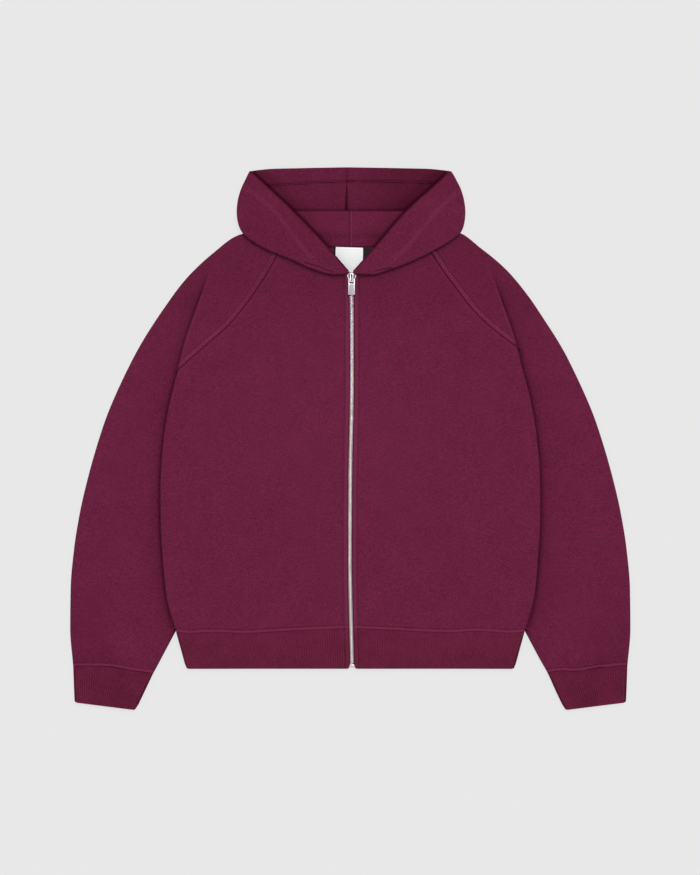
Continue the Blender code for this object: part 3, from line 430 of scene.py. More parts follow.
def front_grid(side):
    """Middle of a front, from the zip to the raglan seam and the folded side."""
    sign = SIDES[side]
    neck = points_of(NECK_FRONT)
    neck[0, 0] = zip_edge(sign, CENTRE_FRONT_NECK_Y)
    plan, rolls = panel_plan(side, neck, seam_points(side), lambda y: zip_edge(sign, y))
    end = float(hidden_edge(side, HEM_SEAM_Y)) - LIFT_RAMP
    plan[..., 1] += hem_rise(plan[..., 0], end) * (1.0 - smooth((plan[..., 1] - HEM_SEAM_Y) / 0.08))
    grid, facing = panel_grid(side, plan, rolls, front_level, -1.0)
    grid[..., 0] *= sign
    facing[..., 0] *= sign
    return grid, {-1: facing}


def back_grid():
    """Middle of the back, from one folded side to the other."""
    halves, ends = [], []
    for side, sign in SIDES.items():
        plan, rolls = panel_plan(side, points_of(NECK_BACK), back_seam_points(side), lambda y: 0.0)
        grid, facing = panel_grid(side, plan, rolls, back_level, 1.0)
        grid[..., 0] *= sign
        facing[..., 0] *= sign
        halves.append(grid)
        ends.append(facing)
    right, left = halves
    left[:, 0, :] = right[:, 0, :] = (left[:, 0, :] + right[:, 0, :]) / 2
    return np.concatenate([right[:, :0:-1], left], axis=1), {0: ends[0], -1: ends[1]}


def sleeve_stations(side):
    """Each section of a sleeve: its front, outer and back points, its lifts and its inner roll."""
    corner = underarm(side)
    front = along(seam_points(side), RAGLAN_STATIONS["seam"])
    back = along(back_seam_points(side), RAGLAN_STATIONS["seam"])
    low_y = corner[1] - 0.004
    shoulder = [(x, y) for x, y in zip(OUTER_EDGE["x"], OUTER_EDGE["y"]) if y > low_y]
    shoulder = along([*shoulder[::-1], (float(outer_edge(low_y)), low_y)], RAGLAN_STATIONS["outer"])
    stations = []
    for f, b, outer in zip(front, back, shoulder):
        lifts = [SIDE_LIFT * (1 - float(smooth((p[1] - corner[1]) / fade)))
                 for p, fade in ((f, FRONT_FADE), (b, BACK_FADE))]
        stations.append((f, tuple(outer), b, lifts, 0.0))
    # Three sections lead the cloth round the outside of the underarm and under the body
    around = (
        (0.003, 0.0, 0.008, 0.95, 0.35),
        (0.0012, 0.007, 0.016, 0.0, math.pi / 2),
        (-0.006, 0.0135, 0.024, 0.0, math.pi / 2),
    )
    for out, down, outer_down, lift, angle in around:
        end = (corner[0] + out, corner[1] - down)
        y = corner[1] - outer_down
        stations.append((end, (float(outer_edge(y)), y), end, [SIDE_LIFT * lift] * 2, angle))
    knots = np.append(INNER_EDGE["y"], corner[1])
    values = np.append(INNER_EDGE["x"], corner[0])
    for inner_y, outer_y in zip(INNER_STATIONS["inner"], INNER_STATIONS["outer"]):
        end = (float(through(knots, values, inner_y)), inner_y)
        stations.append((end, (float(outer_edge(outer_y)), outer_y), end, [0.0, 0.0], math.pi / 2))
    return stations


def sleeve_shares(end, outer, start, length):
    """Distances of a section's columns from its inner edge, close together at the crease."""
    fine = np.linspace(start, length, 80)
    x = end[0] + (outer[0] - end[0]) / length * fine
    y = end[1] + (outer[1] - end[1]) / length * fine
    past = x - side_edge(y)
    least = (length - start) / 12
    foot = float(np.interp(0.0, past, fine))
    head = float(np.interp(-CREASE_WIDTH, past, fine))
    head = min(max(head, start + least), length - 3 * least)
    foot = min(max(foot, head + least), length - least)
    distance = [start]
    for low, high, part in ((start, head, "inner"), (head, foot, "crease"), (foot, length, "outer")):
        distance.extend(np.linspace(low, high, SLEEVE_COLUMNS[part] + 1)[1:])
    return np.array(distance)


def sleeve_layer(end, fold, level, lift, angle, turn, roll_columns=2):
    """One layer of a sleeve section, from its rolled inner end to the middle of the outer fold."""
    end = np.array(end)
    length = np.linalg.norm(fold - end)
    heading = (fold - end) / length
    out, down = rolled_end(angle, roll_columns)
    start = edge_clearance(angle) + out[-1]
    distance = sleeve_shares(end, fold, start, length)
    plan = end + heading * distance[:, None]
    crease = smooth(1.0 - (plan[:, 0] - side_edge(plan[:, 1])) / CREASE_WIDTH)
    flat = np.column_stack([plan, level + lift * crease])
    strip = [[*(plan[0] - heading * o), flat[0, 2] + turn * d] for o, d in zip(out[1:], down[1:])]
    facing = [*(-heading * math.sin(angle)), -turn * math.cos(angle)]
    return np.concatenate([np.array(strip)[::-1], flat]), facing


def sleeve_grid(side, fold_columns=5):
    """Middle of a sleeve: front layer, outer fold, back layer, at each of its sections."""
    rows, fronts, backs = [], [], []
    for front, outer, back, lifts, angle in sleeve_stations(side):
        heading = np.array(outer) - (np.array(front) + np.array(back)) / 2
        heading /= np.linalg.norm(heading)
        centre = np.array(outer) - heading * (FLEECE / 2 + FOLD_RADIUS)
        top, front_facing = sleeve_layer(front, centre, GROUND + LAYER_STEP, lifts[0], angle, -1.0)
        low, back_facing = sleeve_layer(back, centre, GROUND, lifts[1], angle, 1.0)
        turn = half_turn(fold_columns)[1:-1]
        centre = np.array([*centre, GROUND + FOLD_RADIUS])
        fold = centre + np.column_stack([np.outer(np.cos(turn), heading), np.sin(turn)]) * FOLD_RADIUS
        rows.append(np.concatenate([top, fold, low[::-1]]))
        fronts.append(front_facing)
        backs.append(back_facing)
    grid, fronts, backs = np.array(rows), np.array(fronts), np.array(backs)
    for part in (grid, fronts, backs):
        part[..., 0] *= SIDES[side]
    return grid, {0: fronts, -1: backs}


def wales(start, stop, count):
    """Places from start to stop for count ribs: each has a valley at its start and a top."""
    return np.linspace(start, stop, 2 * count + 1)


def cuff_grid(side, rows=3, columns=5, fold_columns=4):
    """Middle of a cuff, a closed flat tube that narrows to its end, and how many ribs it shows."""
    width = math.dist(CUFF["outer"][0], CUFF["inner"][0]) - RIB - 2 * FOLD_RADIUS
    ribs = round(width / WALE_PITCH)
    turn = half_turn(fold_columns)[1:-1]
    low, high = RIB / 2, RIB / 2 + LAYER_STEP
    middle = low + FOLD_RADIUS
    grid = []
    for down in np.linspace(0.0, 1.0, rows):
        outer, inner = (np.array(seam) * (1 - down) + np.array(end) * down for seam, end in CUFF.values())
        heading = (outer - inner) / np.linalg.norm(outer - inner)
        ends = [p + s * heading * (RIB / 2 + FOLD_RADIUS) for p, s in ((inner, 1), (outer, -1))]
        top = ends[0] + (ends[1] - ends[0]) * wales(0.0, 1.0, ribs)[:, None]
        under = ends[1] + (ends[0] - ends[1]) * np.linspace(0.0, 1.0, columns)[:, None]
        folds = []
        for centre, way in ((ends[1], 1.0), (ends[0], -1.0)):
            folds.append([[*(centre + way * heading * FOLD_RADIUS * math.cos(a)),
                           middle + way * FOLD_RADIUS * math.sin(a)] for a in turn])
        grid.append(np.concatenate([
            np.column_stack([top, np.full(len(top), high)]), folds[0],
            np.column_stack([under, np.full(columns, low)]), folds[1],
        ]))
    grid = np.array(grid)
    grid[..., 0] *= SIDES[side]
    return grid, ribs


def hem_grid(rows=3, fold_columns=4):
    """Middle of the hem band, from the zip round the right side, the back and the left side to the zip.

    The second result is how many ribs each front shows.
    """
    turn = half_turn(fold_columns)[1:-1]
    ribs = round(HEM_BAND["x"][0] / WALE_PITCH)
    grid = []
    for down in np.linspace(0.0, 1.0, rows):
        y = HEM_SEAM_Y - SEAM_GAP / 2 + (HEM_END_Y - HEM_SEAM_Y) * down
        width = HEM_BAND["x"][0] + (HEM_BAND["x"][1] - HEM_BAND["x"][0]) * down
        fade = 1.0 - float(smooth(down / 0.85))
        halves = []
        for side, sign in SIDES.items():
            start = zip_edge(sign, y)
            stop = width - RIB / 2 - FOLD_RADIUS
            edge = float(hidden_edge(side, HEM_SEAM_Y))
            front_x = wales(start, stop, ribs)
            back_x = panel_columns(side, 0.0, stop, HEM_SEAM_Y)
            lifts = [SIDE_LIFT * fade * smooth((x - edge) / LIFT_RAMP + 1.0) for x in (front_x, back_x)]
            bend = int(np.argmin(abs(front_x - edge + LIFT_RAMP)))
            front_y = y + fade * hem_rise(front_x, front_x[bend])
            front = np.column_stack([front_x, front_y, RIB / 2 + LAYER_STEP + lifts[0]])
            back = np.column_stack([back_x, np.full(len(back_x), y), RIB / 2 + lifts[1]])[::-1]
            middle = RIB / 2 + FOLD_RADIUS + lifts[1][-1]
            fold = [[stop + FOLD_RADIUS * math.cos(a), y, middle + FOLD_RADIUS * math.sin(a)] for a in turn]
            half = np.concatenate([front, fold, back])
            half[:, 0] *= sign
            halves.append(half)
        grid.append(np.concatenate([halves[0], halves[1][-2::-1]]))
    return np.array(grid), ribs


def hood_back_rows():
    """The rows that reach the centre seam, with those round the two folds over the neck.

    The last value parts the rows between the two folds, in layers, where the folds die away.
    """
    turn = np.array([0.0, math.pi / 2, math.pi])
    upper = NECK_FOLD_Y - FLEECE / 2 - FOLD_RADIUS
    lower = CROWN_FOLD_Y + FLEECE / 2 + FOLD_RADIUS
    path = [(upper + FOLD_RADIUS * math.sin(a), 1.5 + 0.5 * math.cos(a)) for a in turn]
    path += [(lower - FOLD_RADIUS * math.sin(a), 0.5 + 0.5 * math.cos(a)) for a in turn]
    low_fold, high_fold, low_opening, high_opening = FOLD_SHARES
    rows = [(*row, 0.0) for row in HOOD_BACK_ROWS]
    for share, (y, level), parting in zip(np.linspace(0.0, 1.0, len(path)), path, (0, 0, 0.5, -0.5, 0, 0)):
        rows.append((y, level, low_fold + (high_fold - low_fold) * share,
                     low_opening + (high_opening - low_opening) * share, parting))
    return [*rows, *((*row, 0.0) for row in HOOD_CROWN_ROWS)]


def hood_bottom(side, x, y):
    """Height of the middle of the hood's lowest layer: on the garment, then down on the floor."""
    on_body = front_level(side, x, np.minimum(y, 0.33)) + LAYER_STEP
    return on_body + (GROUND - on_body) * smooth((y - HOOD_DROP[0]) / HOOD_DROP[1])


def hood_flap(side, fold_share, opening_share, flap_columns=5, fold_columns=5):
    """A row of the hood from the opening's edge over the flap and round the outside fold."""
    fold = along(points_of(HOOD_FOLD[side]), [fold_share])[0]
    edge = along(points_of(HOOD_OPENING[side]), [opening_share])[0]
    heading = (fold - edge) / np.linalg.norm(fold - edge)
    centre = fold - heading * (FLEECE / 2 + FOLD_RADIUS)
    low = float(hood_bottom(side, centre[0], centre[1]))
    clear = GROUND + LAYER_STEP * (1 + 2 * float(smooth((FLAP_DROP[0] - edge[1]) / FLAP_DROP[1])))
    if edge[1] < 0.3:
        clear = max(clear, float(front_level(side, edge[0], edge[1])) + 2 * LAYER_STEP)
    row = []
    for share in np.linspace(1.0, 0.0, flap_columns + 1):
        rise = (clear - low - LAYER_STEP) * float(smooth(share * 1.3))
        row.append([*(centre + (edge - centre) * share), low + LAYER_STEP + rise])
    for angle in half_turn(fold_columns)[1:]:
        out = heading * FOLD_RADIUS * math.cos(angle)
        row.append([*(centre + out), low + FOLD_RADIUS * (1 + math.sin(angle))])
    return row


def hood_grid(side, under_columns=7):
    """Middle of half the hood: from the opening's edge over the flap, round, and in to its seam.

    Rows up to the shoulder stop at the neck seam, so the second grid marks the faces to keep.
    """
    shares = np.linspace(0.0, 1.0, under_columns + 1)[1:]
    rows = []
    for end_x, end_y, fold_share, opening_share in HOOD_FRONT_ROWS:
        row = hood_flap(side, fold_share, opening_share)
        start, end = np.array(row[-1]), np.array([end_x, end_y, float(hood_bottom(side, end_x, end_y))])
        rows.append(row + [start + (end - start) * share for share in shares] + [end] * len(HOOD_SEAM_X))
    fade, flat, down = FOLD_FADE
    for seam_y, level, fold_share, opening_share, parting in hood_back_rows():
        row = hood_flap(side, fold_share, opening_share)
        start = row[-1]
        seam_z = GROUND + LAYER_STEP * level
        for x in [start[0] + (SHOULDER_X - start[0]) * share for share in shares] + [*HOOD_SEAM_X]:
            go_y = float(smooth((x - fade) / (flat - fade)))
            go_z = float(smooth((x - flat) / (down - flat)))
            y, z = seam_y + (start[1] - seam_y) * go_y, seam_z + (start[2] - seam_z) * go_z
            z += parting * LAYER_STEP * go_y * (1 - go_z)
            if level < 1.0 and seam_y < NECK_FOLD_Y - 0.03:
                top = GROUND + 2 * LAYER_STEP
                z = seam_z + (top - seam_z) * float(smooth((x - 0.045) / 0.045))
                z = z + (start[2] - z) * go_z
            if seam_y == HOOD_TOP["y"][0]:
                y = float(np.interp(x, HOOD_TOP["x"], HOOD_TOP["y"]))
            row.append([x, y, z])
        rows.append(row)
    grid = np.array(rows)
    grid[..., 0] *= SIDES[side]
    kept = np.ones((grid.shape[0] - 1, grid.shape[1] - 1), bool)
    kept[: len(HOOD_FRONT_ROWS), -len(HOOD_SEAM_X):] = False
    return grid, kept


def tape_grid(side, rows=12):
    """Middle of one side's zip tape; at its top it passes beside the slider's post."""
    grid = []
    for y in np.linspace(TAPE["bottom"], TAPE["top"], rows):
        inner = 0.0003 + 0.0022 * float(smooth((y - 0.254) / 0.006))
        row = []
        for x in (inner, (inner + TAPE["outer"]) / 2, TAPE["outer"]):
            x = float(zip_line(y)) + SIDES[side] * x
            row.append([x, y, TAPE["z"] + float(neck_rise(x, y))])
        grid.append(row)
    return np.array(grid)


def label_grid(corners, z):
    first, second, third, fourth = (np.array([*corner, z]) for corner in corners)
    middle_top, middle_low = (first + second) / 2, (fourth + third) / 2
    return np.array([[first, middle_top, second], [fourth, middle_low, third]])


# Soft folds and dents of the top layers, in metres and degrees; a height below 0 is a trough
FOLDS = (
    # x, y, angle, half length, half width, height
    (-0.176, -0.13, 88, 0.11, 0.03, -0.0009),
    (-0.235, -0.03, 80, 0.12, 0.034, 0.0008),
    (-0.12, 0.06, 105, 0.09, 0.036, 0.0007),
    (-0.06, -0.12, 95, 0.13, 0.034, 0.0006),
    (-0.145, -0.29, 8, 0.04, 0.011, -0.0011),
    (-0.05, -0.285, 175, 0.03, 0.012, 0.0008),
    (-0.225, -0.28, 170, 0.034, 0.012, 0.0009),
    (0.14, -0.262, 12, 0.036, 0.016, -0.0012),
    (0.215, -0.245, 120, 0.04, 0.016, 0.0009),
    (0.07, -0.275, 5, 0.034, 0.012, 0.0008),
    (0.06, -0.06, 92, 0.12, 0.036, 0.0007),
    (0.13, 0.01, 70, 0.1, 0.036, -0.0008),
    (0.21, 0.06, 50, 0.07, 0.022, 0.0008),
    (0.235, -0.11, 96, 0.11, 0.026, 0.0007),
    (0.03, 0.115, 20, 0.05, 0.018, -0.0005),
    (0.11, 0.18, 150, 0.06, 0.024, 0.0007),
    (-0.11, 0.195, 35, 0.06, 0.024, 0.0007),
    (-0.19, 0.235, 62, 0.05, 0.018, -0.0008),
    (-0.205, 0.165, 55, 0.045, 0.016, 0.001),
    (0.2, 0.24, 118, 0.05, 0.018, -0.0007),
    (0.225, 0.185, 125, 0.045, 0.016, 0.0008),
    (-0.345, 0.02, 70, 0.13, 0.024, 0.001),
    (-0.375, -0.16, 84, 0.12, 0.022, -0.001),
    (-0.4, -0.28, 88, 0.06, 0.018, 0.0009),
    (-0.34, -0.24, 74, 0.08, 0.018, 0.0008),
    (0.345, 0.03, 108, 0.13, 0.024, 0.0009),
    (0.372, -0.15, 97, 0.12, 0.022, -0.001),
    (0.402, -0.285, 92, 0.06, 0.018, 0.0009),
    (0.338, -0.25, 106, 0.08, 0.018, 0.0009),
)
UNEVENNESS = (
    # waves along x and along y, in radians a metre, phase, height
    (31, 17, 0.4, 0.00022), (-23, 37, 1.9, 0.0002), (53, -29, 3.1, 0.00012), (71, 47, 0.9, 0.00008),
    (-61, 83, 2.3, 0.00006),
)
# Gathers where the fleece is sewn to a rib, in each seam's own direction
GATHERS = {
    # spot on the seam, its direction in degrees, half length, waves in that length, depth, reach
    "cuff_right": (-0.379, -0.3665, -3, 0.06, 3.0, 0.0007, 0.03),
    "cuff_left": (0.379, -0.3665, 3, 0.06, 4.0, 0.0016, 0.026),
    "hem_right": (-0.142, -0.307, 0, 0.13, 4.0, 0.0005, 0.034),
    "hem_left": (0.142, -0.307, 0, 0.13, 4.5, 0.0006, 0.034),
}
# How far the hem's and the cuffs' seams are drawn out of true, towards the neck, at each X
SEAM_WAVES = {
    "hem": {"x": (-0.279, -0.256, -0.234, -0.2, -0.178, -0.129, -0.065, 0.0, 0.0507, 0.1275, 0.1595,
                  0.1755, 0.1915, 0.2235, 0.2635, 0.2795),
            "shift": (0.0, -0.0026, -0.0013, -0.0016, -0.003, -0.002, -0.0005, -0.0002, -0.0006, -0.0022,
                      -0.0018, -0.0011, 0.0002, -0.0003, -0.0019, 0.0)},
    "cuff": {"x": (-0.443, -0.4134, -0.3829, -0.3502, -0.3148, 0.3148, 0.338, 0.3625, 0.387, 0.444),
             "shift": (0.0, 0.0026, 0.0046, 0.0018, 0.0, 0.0014, 0.0022, -0.0009, 0.001, 0.0012)},
}
WAVE_REACH = 0.03  # how far the cloth beside a seam is drawn with it
# Where the painted shade beside those seams is darkest, at their puckers, above their ridge and then below it
PUCKER_SHADES = {
    # x, half length, share
    "hem": (((-0.237, 0.01, 0.45), (-0.197, 0.014, 0.45), (-0.1, 0.07, 0.6), (0.065, 0.06, 0.6),
             (0.196, 0.008, 0.4), (0.232, 0.012, 0.45), (-0.034, 0.018, 0.35), (0.034, 0.018, 0.45)),
            ((-0.125, 0.05, 0.5), (0.1, 0.06, 0.5))),
    "cuff": (((-0.379, 0.012, 0.6), (-0.43, 0.012, 0.3), (0.334, 0.008, 0.5), (0.385, 0.014, 0.6)),
             ((-0.378, 0.014, 0.6), (-0.436, 0.008, 0.3), (0.309, 0.008, 0.5), (0.388, 0.016, 0.7))),
}
RIDGE = 0.0044  # from a seam to the row of sewing beyond its ridge
# Hem round the hood's opening: its row of sewing over each flap, and over the crown
HOOD_HEM = {
    "right": {"x": (0.168, 0.1312, 0.0994, 0.0798, 0.0578), "y": (0.4016, 0.3736, 0.3368, 0.3099, 0.2854)},
    "left": {"x": (0.1723, 0.1467, 0.1112, 0.0818, 0.0646), "y": (0.3957, 0.3723, 0.332, 0.2976, 0.2832)},
}
# Small tuck pressed into each flap just above its lower edge
TUCKS = {
    "right": ((-0.0733, 0.2812), (-0.0629, 0.2783), (-0.0517, 0.2752), (-0.0379, 0.2692), (-0.0262, 0.2664)),
    "left": ((0.039, 0.2673), (0.0547, 0.2713), (0.0656, 0.2732)),
}
CROWN_HEM = {"x": (-0.1288, -0.0037, 0.1355), "y": (0.4054, 0.4115, 0.4091)}
CROWN_TILT = 0.0075  # how far the crown's upper edge stands above the floor
# Upper edge of the hood, with its rounded corner
HOOD_RIM = {"x": (0.0, 0.08, 0.14, 0.151, 0.157, 0.16, 0.1622, 0.1645),
            "y": (0.4336, 0.4322, 0.4303, 0.4294, 0.4283, 0.427, 0.4252, 0.4222)}
CROWN_SEAM = {"y": (0.36, 0.4336), "x": (-0.0066, -0.005)}  # the crown lies a little to one side
# Lines of sewing: how far in from an edge, and how far the cloth sinks under the thread
TURN_WIDTH = 0.0245  # hem round the hood's opening
BAND = {"width": 0.0068, "height": 0.001, "rows": (0.0019, 0.0055)}  # allowance sewn down beside a seam
BAND_FADE = {"right": 0.8, "left": 0.0}  # how much of that band's painted highlight and shade is lost to sight near the neck
FLAP_TONE = {"right": 0.1, "left": 0.04}  # how dark each flap is, as shade
SEAM_SHADE = 0.95  # how dark the painted shade of a seam is at its deepest
CREASE_TOP = 0.215  # Y above which the crease of a sleeve dies away
SEAM_DIP = 0.0009  # how far the cloth sinks into a seam
DIP_WIDTH = 0.0016
PLACKET = 0.0112  # from the zip's line to the row of sewing beside it


def bell(distance, width):
    return np.exp(-np.square(np.asarray(distance) / width))


def between(distance, low, high, soft=0.0008):
    """1 between two distances, fading out over soft at both."""
    return smooth((distance - low) / soft + 0.5) * smooth((high - distance) / soft + 0.5)


def distance_to(line, x, y):
    """Distance of each place from a line of points."""
    line = np.asarray(line, float)[:, :2]
    start, step = line[:-1], np.diff(line, axis=0)
    best = np.full(np.shape(x), 1e9)
    for origin, way, size in zip(start, step, np.linalg.norm(step, axis=1)):
        share = np.clip(((x - origin[0]) * way[0] + (y - origin[1]) * way[1]) / size**2, 0.0, 1.0)
        best = np.minimum(best, np.hypot(x - origin[0] - share * way[0], y - origin[1] - share * way[1]))
    return best


def fold_height(x, y):
    """Height of the soft folds, with a long slow unevenness under them."""
    height = np.zeros(np.shape(x))
    for centre_x, centre_y, angle, length, width, size in FOLDS:
        turn = math.radians(angle)
        along_it = (x - centre_x) * math.cos(turn) + (y - centre_y) * math.sin(turn)
        across_it = (y - centre_y) * math.cos(turn) - (x - centre_x) * math.sin(turn)
        across_it = across_it + 0.12 * along_it**2 / length
        height += size * bell(along_it, length) * bell(across_it, width)
    for wave_x, wave_y, phase, size in UNEVENNESS:
        height += size * np.sin(wave_x * x + wave_y * y + phase)
    return height


def gather_height(name, x, y):
    """Small upright puckers that die away from a rib's seam into the fleece."""
    spot_x, spot_y, angle, length, waves, depth, reach = GATHERS[name]
    turn = math.radians(angle)
    along_it = (x - spot_x) * math.cos(turn) + (y - spot_y) * math.sin(turn)
    away = np.abs((y - spot_y) * math.cos(turn) - (x - spot_x) * math.sin(turn))
    wave = np.sin(along_it / length * waves * math.pi + 0.9 * np.sin(along_it * 41))
    return depth * wave * bell(along_it, length * 0.95) * smooth(1.0 - away / reach) * smooth(away / 0.004)


def seam_dip(distance):
    return -SEAM_DIP * bell(distance, DIP_WIDTH)


def xy(grid):
    return grid[..., 0], grid[..., 1]


def upward(facing):
    """Share of a relief that a place takes: all of it where it faces up, none on folds and below."""
    return smooth((facing - 0.35) / 0.5)


def gathered_ridge(distance, width):
    """The fleece stands up between a rib's seam and the row of sewing that is sunk beside it."""
    return 0.001 * between(distance, 0.0002, RIDGE - 0.0012, 0.0012) - 0.001 * bell(distance - RIDGE, width)


def ridge_shade_and_highlight(kind, x, distance, width):
    """Painted shade along that row of sewing, and painted highlight on the ridge."""
    return pucker_shade(kind, 0, x) * bell(distance - RIDGE, width) - 0.75 * bell(distance - 0.0019, 0.0013)


def placket_highlight(from_zip):
    """Painted highlight on the cloth between the zip and the row of sewing beside it."""
    return 0.48 * between(from_zip, 0.0052, 0.0092, 0.0016)


def upper_layer(grid):
    """1 on the upper layer of a rib piece, 0 on its lower one."""
    return smooth((grid[..., 2] - 0.0045) / 0.001)


def pucker_shade(kind, place, x):
    """How much painted shade a seam gets at each X, above its ridge (place 0) or below it (place 1), darkest
    at its puckers.
    """
    return 0.36 + sum(share * bell(x - spot, length) for spot, length, share in PUCKER_SHADES[kind][place])


def crown_seam_x(y):
    return np.interp(y, CROWN_SEAM["y"], CROWN_SEAM["x"])


def painted_broad_shading(x, y):
    """Painted shade and painted light over the body and the sleeves: darker at the shoulders and at the
    hanging sleeves' ends, paler in the middle.
    """
    shoulder = smooth((y - 0.165) / 0.08)
    hanging = smooth((abs(x) - 0.35) / 0.06) * smooth((-0.18 - y) / 0.14)
    middle = bell(x, 0.19) * bell(y - 0.02, 0.15)
    return 0.12 * shoulder + 0.12 * hanging - 0.1 * middle


def sewn_band(distance):
    """A seam allowance sewn down beside its seam: a low flat ridge with two rows sunk into it."""
    ridge = BAND["height"] * between(distance, 0.001, BAND["width"], 0.0016)
    return ridge - sum(0.0005 * bell(distance - row, 0.0009) for row in BAND["rows"])


def split(knots, longest, spacing, ends):
    """Knots with more between them: steps on the cloth are spacing long, and finer near the ends.

    ends holds, for the first and for the last end, how far the finer steps reach and their length.
    """
    run = distances(longest)
    (first_reach, first_step), (last_reach, last_step) = ends
    at, place = [], []
    for index, (low, high) in enumerate(zip(knots[:-1], knots[1:])):
        start, stop = run[index], run[index + 1]
        cuts = sorted({start, stop, *(c for c in (first_reach, run[-1] - last_reach) if start < c < stop)})
        for a, b in zip(cuts[:-1], cuts[1:]):
            step = spacing
            if b <= first_reach + 1e-9:
                step = min(step, first_step)
            if a >= run[-1] - last_reach - 1e-9:
                step = min(step, last_step)
            count = max(1, math.ceil((b - a) / step))
            share = (np.linspace(a, b, count, endpoint=False) - start) / (stop - start)
            at.extend(low + (high - low) * share)
            place.extend(index + share)
    return np.append(at, knots[-1]), np.append(place, len(knots) - 1.0)


PLAIN = ((0.0, 1.0), (0.0, 1.0))


def refined(grid, spacing, row_ends=PLAIN, column_ends=PLAIN, facing=None, closed=False):
    """The same surface with rows and columns added. Also the old row and column of each new one.

    spacing holds the usual step from row to row and from column to column.
    """
    if closed:
        grid = np.concatenate([grid, grid[:, :1]], axis=1)
    places, knots = [], []
    for axis, ends in ((0, row_ends), (1, column_ends)):
        steps = np.linalg.norm(np.diff(grid, axis=axis), axis=2)
        usual = np.maximum(steps.mean(axis=1 - axis), 1e-6)
        old = distances(usual)
        at, place = split(old, steps.max(axis=1 - axis), spacing[axis], ends)
        if axis == 0:
            grid = resampled(old, grid, at)
            facing = {column: resampled(old, given, at) for column, given in (facing or {}).items()}
        else:
            grid = resampled(old, grid.transpose(1, 0, 2), at).transpose(1, 0, 2)
        places.append(place)
        knots.append(at)
    if closed:
        grid, places[1] = grid[:, :-1], places[1][:-1]
    return grid, places, knots, facing


def grid_normals(grid, closed=False):
    """Unit direction square to the surface at each point."""
    if closed:
        wide = np.concatenate([grid[:, -1:], grid, grid[:, :1]], axis=1)
        across = (wide[:, 2:] - wide[:, :-2]) / 2
    else:
        across = np.gradient(grid, axis=1)
    square = np.cross(np.gradient(grid, axis=0), across)
    length = np.linalg.norm(square, axis=-1, keepdims=True)
    return square / np.where(length > 0, length, 1.0)


RIM_SHADE = 0.95  # how much darker cloth is that turns away from above


def new_piece(name, points, faces):
    mesh = bpy.data.meshes.new(name)
    mesh.from_pydata(points.tolist(), [], faces)
    item = bpy.data.objects.new(name, mesh)
    bpy.context.scene.collection.objects.link(item)
    return item


def cloth_piece(name, grid, thickness, knots, facing=None, kept=None, closed=False, ribs=None, up=None,
                shade=None):
    """A closed shell on a fine grid, with the grid's own lengths as its UV map.

    ribs are heights added to the outer side. up is a point of the grid whose outer side faces up.
    shade is the painted shade of each place, from 1 for dark to -1 for a pale painted highlight; cloth that
    turns away from above gets painted shade as well.
    """
    rows, columns = grid.shape[:2]
    square = grid_normals(grid, closed)
    up = up or (rows // 2, columns // 2)
    if square[up][2] < 0:
        square = -square
    for column, given in (facing or {}).items():
        given = given / np.linalg.norm(given, axis=1, keepdims=True)
        way = np.sign(np.sum(square[:, column] * given, axis=1))
        square[:, column] = given * np.where(way == 0, 1.0, way)[:, None]
    raised_by = np.zeros((rows, columns)) if ribs is None else ribs
    outer = (grid + square * (thickness / 2 + raised_by)[..., None]).reshape(-1, 3)
    inner = (grid - square * thickness / 2).reshape(-1, 3)
    below = rows * columns
    last = columns if closed else columns - 1
    row, column = np.meshgrid(np.arange(rows - 1), np.arange(last), indexing="ij")
    if kept is not None:
        row, column = row[kept], column[kept]
    row, column = row.ravel(), column.ravel()
    beside = (column + 1) % columns
    corners = np.stack([row * columns + column, (row + 1) * columns + column,
                        (row + 1) * columns + beside, row * columns + beside], axis=1)
    edges = np.concatenate([corners[:, [0, 1]], corners[:, [1, 2]], corners[:, [2, 3]], corners[:, [3, 0]]])
    code = edges[:, 0] * below + edges[:, 1]
    free = ~np.isin(edges[:, 1] * below + edges[:, 0], code)
    rim = np.column_stack([edges[free][:, ::-1], edges[free] + below])
    faces = np.concatenate([corners, corners[:, ::-1] + below, rim])
    used, faces = np.unique(faces, return_inverse=True)
    faces = faces.reshape(-1, 4)
    points = np.concatenate([outer, inner])[used]
    points[:, 2] = np.maximum(points[:, 2], 0.0)
    item = new_piece(name, points, faces.tolist())
    mesh = item.data
    u, v = np.meshgrid(knots[1][:columns], knots[0])
    place = np.column_stack([u.ravel(), v.ravel()])[used % below]
    dark = mesh.attributes.new("shade", "FLOAT", "POINT")
    values = RIM_SHADE * (1.0 - np.abs(square[..., 2])) ** 3
    if shade is not None:
        values = values + shade
    dark.data.foreach_set("value", np.tile(np.clip(values, -1.0, 1.0).ravel(), 2)[used].astype(np.float32))
    layer = mesh.uv_layers.new(name="cloth")
    loops = np.zeros(len(mesh.loops), np.int32)
    mesh.loops.foreach_get("vertex_index", loops)
    layer.data.foreach_set("uv", place[loops].astype(np.float32).ravel())
    shape = bmesh.new()
    shape.from_mesh(mesh)
    bmesh.ops.recalc_face_normals(shape, faces=shape.faces)
    shape.to_mesh(mesh)
    shape.free()
    mesh.shade_smooth()
    mesh.set_sharp_from_angle(angle=math.radians(60))
    return item


def finish_piece(item, look, body="garment", nodes=()):
    """Give a piece its material, and tie it to its body and the nodes that it stands for."""
    item.data.materials.clear()
    item.data.materials.append(look)
    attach(item, body)
    if nodes:
        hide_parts(*nodes)
    return item


def lifted(grid, relief):
    """A grid with relief(x, y) added to what faces up, and nothing to its folds and underside."""
    square = grid_normals(grid)
    if square[grid.shape[0] // 2, 3, 2] < 0:
        square = -square
    moved = grid.copy()
    moved[..., 2] += upward(square[..., 2]) * relief(*xy(grid))
    return moved


def curve_of(points, count=60):
    return along(points, np.linspace(0.0, 1.0, count))


def seam_wave(kind, x):
    table = SEAM_WAVES[kind]
    return through(table["x"], table["shift"], x)


def raglan_line(side):
    return curve_of(seam_points(side)) * (SIDES[side], 1.0)


